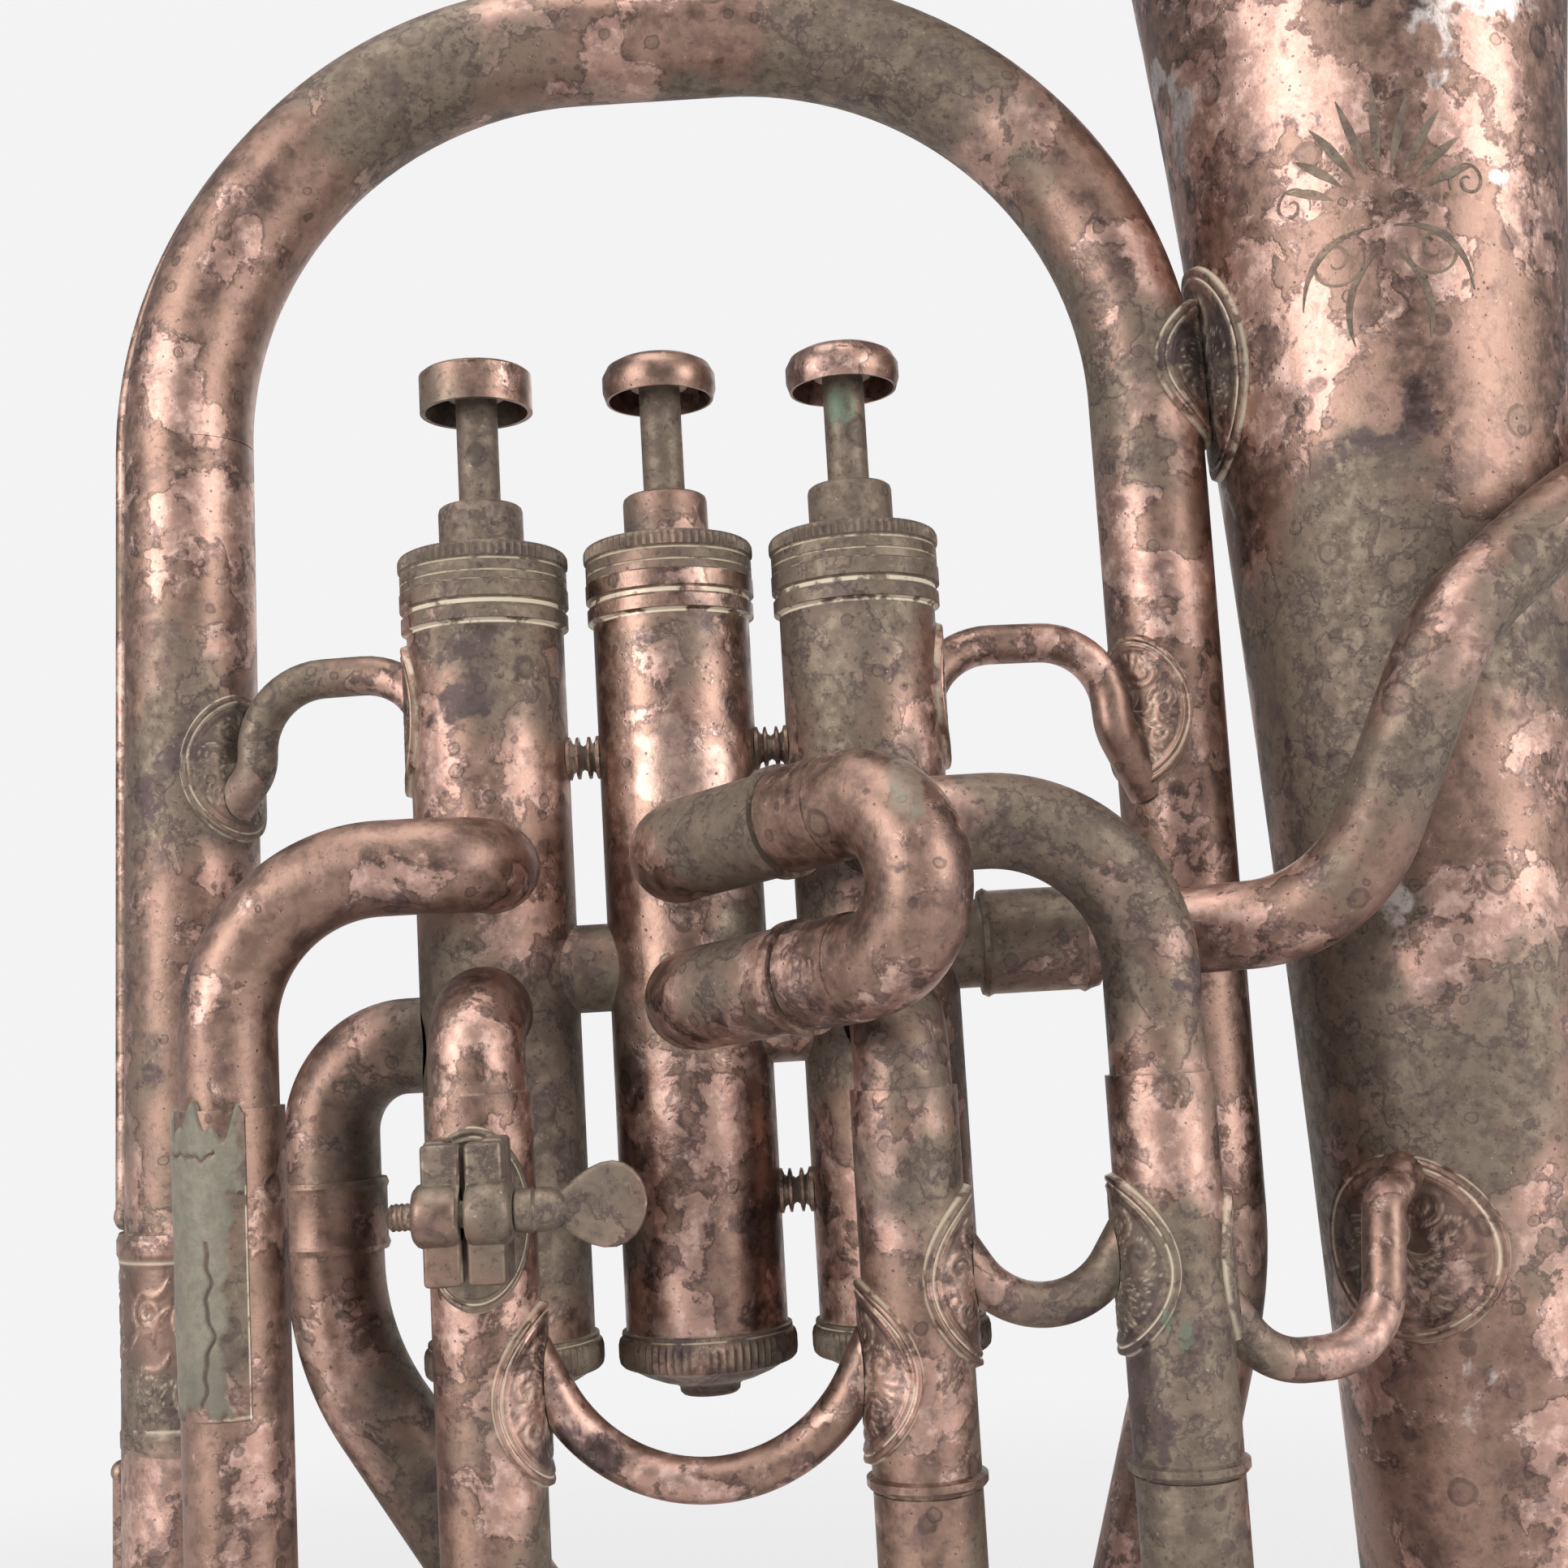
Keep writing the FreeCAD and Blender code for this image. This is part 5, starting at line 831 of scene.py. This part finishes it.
def repair(name, axis_point, side, radius, half_height, half_angle, seed):
    """A thin plate round a tube, under solder that covers most of it and is cracked along its length.
    On the plate, a runs from -1 to 1 across and h from -1 at its foot to about 0.9 at its wandering top."""
    rng = np.random.default_rng(seed)
    across_count, along_count = 90, 130
    waves = [(n, rng.uniform(0, 2 * math.pi), rng.uniform(0.01, 0.035)) for n in (2, 5, 9, 17)]
    bumps = rng.uniform(-1, 1, (40, 2))
    side = Vector(side).normalized()
    across = UP.cross(side)

    def wander(h, lift):
        return sum(size * math.sin(n * 2.2 * h + phase + lift) for n, phase, size in waves)

    def faded(distance, width):
        return max(0.0, min(1.0, 0.5 - distance / width))

    points, hollow, line, solder = [], [], [], []
    for j in range(along_count):
        for k in range(across_count):
            a = -1 + 2 * k / (across_count - 1)
            top = 0.86 + 0.09 * math.sin(7 * a + 1) + 0.05 * math.sin(17 * a)
            h = -1 + (1 + top) * j / (along_count - 1)
            left, right = -0.72 + 3 * wander(h, 0.0), 0.62 + 2 * wander(h, 2.0)
            if h > 0.42:
                left, right = -1.2, 0.86 + 2 * wander(h, 1.0)
            crack_at = 0.30 + 2.0 * wander(h, 4.0)
            mass = faded(left - a, 0.08) * faded(a - right, 0.08) * faded(-0.93 - h + wander(a, 3.0), 0.06)
            crack = faded(abs(a - crack_at) - 0.035, 0.03) * (h < 0.12) * (h > -0.9)
            crack = max(crack, faded(abs(h - 0.66 - 0.5 * wander(a, 5.0)) - 0.012, 0.012) * (a < 0.5))
            lump = min(2.5, sum(math.exp(-((a - p) ** 2 * 9 + (h - q) ** 2 * 30)) for p, q in bumps))
            edge = max(0.0, min(1.0, (1 - abs(a)) / 0.03, (1 + h) / 0.012, (top - h) / 0.02))
            r = radius + (0.16 + mass * (1 - crack) * (0.14 + 0.08 * lump)) * edge - 0.12 * (1 - edge)
            turn = a * half_angle
            points.append(Vector(axis_point) + side * (r * math.cos(turn)) + across * (r * math.sin(turn))
                          + UP * (h * half_height))
            # Painted shade in the solder's cracks.
            hollow.append(0.75 * crack)
            line.append(faded(abs(a - 0.955) - 0.012, 0.02) * (h < 0.45)
                        + faded(abs(h + 0.975) - 0.006, 0.01) * (a > 0.1))
            solder.append(mass * (1 - crack))
    layer = across_count * along_count
    thickness = 0.6
    for p in points[:]:
        outward = p - Vector(axis_point)
        outward -= UP * UP.dot(outward)
        points.append(p - outward.normalized() * thickness)
    faces = []
    for first, flip in ((0, 1), (layer, -1)):
        faces += [(first + j * across_count + k, first + j * across_count + k + 1,
                   first + (j + 1) * across_count + k + 1, first + (j + 1) * across_count + k)[::flip]
                  for j in range(along_count - 1) for k in range(across_count - 1)]
    foot, top = range(across_count), range(layer - across_count, layer)
    left_edge, right_edge = range(0, layer, across_count), range(across_count - 1, layer, across_count)
    for border in (foot, right_edge, top[::-1], left_edge[::-1]):
        faces += [(a, layer + a, layer + b, b) for a, b in zip(border, border[1:])]
    rest = [0.0] * layer
    piece(name, points, faces, PATCH, "horn", "horn_metal",
          {"hollow": hollow + rest, "line": line + rest, "solder": solder + rest})


repair("solder_on_first_leg", (-63.8, SLIDE_Y, -80.0), (-0.52, -0.85, 0), 7.5, 21.4, 1.11, 5)

# ---------------------------------------------------------------- floor, lights, camera

floor_mesh = bpy.data.meshes.new("floor")
FLOOR_SPOKES, FLOOR_DROP = 96, 0.0004
rims = [0.25, 0.6, 1.0, 1.6, 3.0, 8.0]
floor_points = [(0, 0, 0)]
for r in rims:
    for k in range(FLOOR_SPOKES):
        spoke = 2 * math.pi * k / FLOOR_SPOKES
        floor_points.append((r * math.cos(spoke), r * math.sin(spoke), 0))
floor_faces = [(0, 1 + k, 1 + (k + 1) % FLOOR_SPOKES) for k in range(FLOOR_SPOKES)]
for i in range(len(rims) - 1):
    for k in range(FLOOR_SPOKES):
        n = (k + 1) % FLOOR_SPOKES
        a, b = 1 + i * FLOOR_SPOKES, 1 + (i + 1) * FLOOR_SPOKES
        floor_faces.append((a + k, b + k, b + n, a + n))
floor_mesh.from_pydata(floor_points, [], floor_faces)
floor = bpy.data.objects.new("floor", floor_mesh)
floor.location.z = cad_low.z - FLOOR_DROP
bpy.context.scene.collection.objects.link(floor)
BACKDROP = (0.90, 0.895, 0.905)
g = Graph("floor_paper")
distance = g.add("ShaderNodeVectorMath", {0: g.place}, operation="LENGTH").outputs["Value"]
paper = g.noise(700.0, 4.0, 0.6)
paper_tone = g.mix(g.step(paper, 0.3, 0.7), (0.70, 0.695, 0.70), (0.74, 0.735, 0.74))
diffuse = g.add("ShaderNodeBsdfDiffuse", {"Color": paper_tone})
glow = g.add("ShaderNodeEmission", {"Color": (*BACKDROP, 1.0), "Strength": 1.0})
far_away = g.step(distance, 0.45, 1.15)
cover = g.add("ShaderNodeMixShader", {0: far_away, 1: diffuse.outputs[0], 2: glow.outputs[0]})
g.add("ShaderNodeOutputMaterial", {"Surface": cover.outputs[0]})
floor_mesh.materials.append(g.material)

world = bpy.data.worlds.new("studio")
world.use_nodes = True
bpy.context.scene.world = world
tree = world.node_tree
tree.nodes.clear()
seen = tree.nodes.new("ShaderNodeBackground")
seen.inputs[0].default_value = (*BACKDROP, 1.0)
fill_light = tree.nodes.new("ShaderNodeBackground")
fill_light.inputs[0].default_value = (0.93, 0.95, 1.0, 1.0)
fill_light.inputs[1].default_value = 0.36
kind = tree.nodes.new("ShaderNodeLightPath")
choice = tree.nodes.new("ShaderNodeMixShader")
out = tree.nodes.new("ShaderNodeOutputWorld")
tree.links.new(kind.outputs["Is Camera Ray"], choice.inputs[0])
tree.links.new(fill_light.outputs[0], choice.inputs[1])
tree.links.new(seen.outputs[0], choice.inputs[2])
tree.links.new(choice.outputs[0], out.inputs[0])

AIM = Vector((0, 0, 0.30))


def softbox(name, place, width, height, power, colour=(1.0, 0.98, 0.96)):
    light = bpy.data.lights.new(name, "AREA")
    light.shape = "RECTANGLE"
    light.size, light.size_y, light.energy, light.color = width, height, power, colour
    lamp = bpy.data.objects.new(name, light)
    lamp.location = place
    lamp.rotation_euler = (Vector(place) - AIM).to_track_quat("Z", "Y").to_euler()
    bpy.context.scene.collection.objects.link(lamp)


softbox("left_softbox", (-1.25, -1.05, 0.75), 0.7, 1.2, 23)
softbox("right_softbox", (1.30, -0.95, 0.70), 0.7, 1.2, 20.5)
softbox("top_softbox", (-0.15, -0.35, 1.75), 1.3, 1.0, 19)
softbox("back_softbox", (0.4, 1.5, 0.95), 1.0, 1.0, 6)

camera = bpy.data.objects.new("camera", bpy.data.cameras.new("camera"))
bpy.context.scene.collection.objects.link(camera)
camera.data.lens = 45.65
camera.data.sensor_width = 36.0
camera.data.clip_start, camera.data.clip_end = 0.02, 50.0
# The photo's camera: a little below the valves, looking slightly up and rolled by about three degrees.
CAMERA_PLACE = at(15.9, -300.9, -51.0)
LOOK_RIGHT, LOOK_DOWN = Vector((0.9983, 0.0065, -0.0572)), Vector((-0.0576, 0.1130, -0.9919))
LOOK_AHEAD = Vector((0, 0.9936, 0.1132))
turn = Matrix((LOOK_RIGHT, -LOOK_DOWN, -LOOK_AHEAD)).transposed().to_4x4()
camera.matrix_world = Matrix.Translation(CAMERA_PLACE) @ turn
bpy.context.scene.camera = camera
bpy.context.scene.view_settings.view_transform = "Standard"
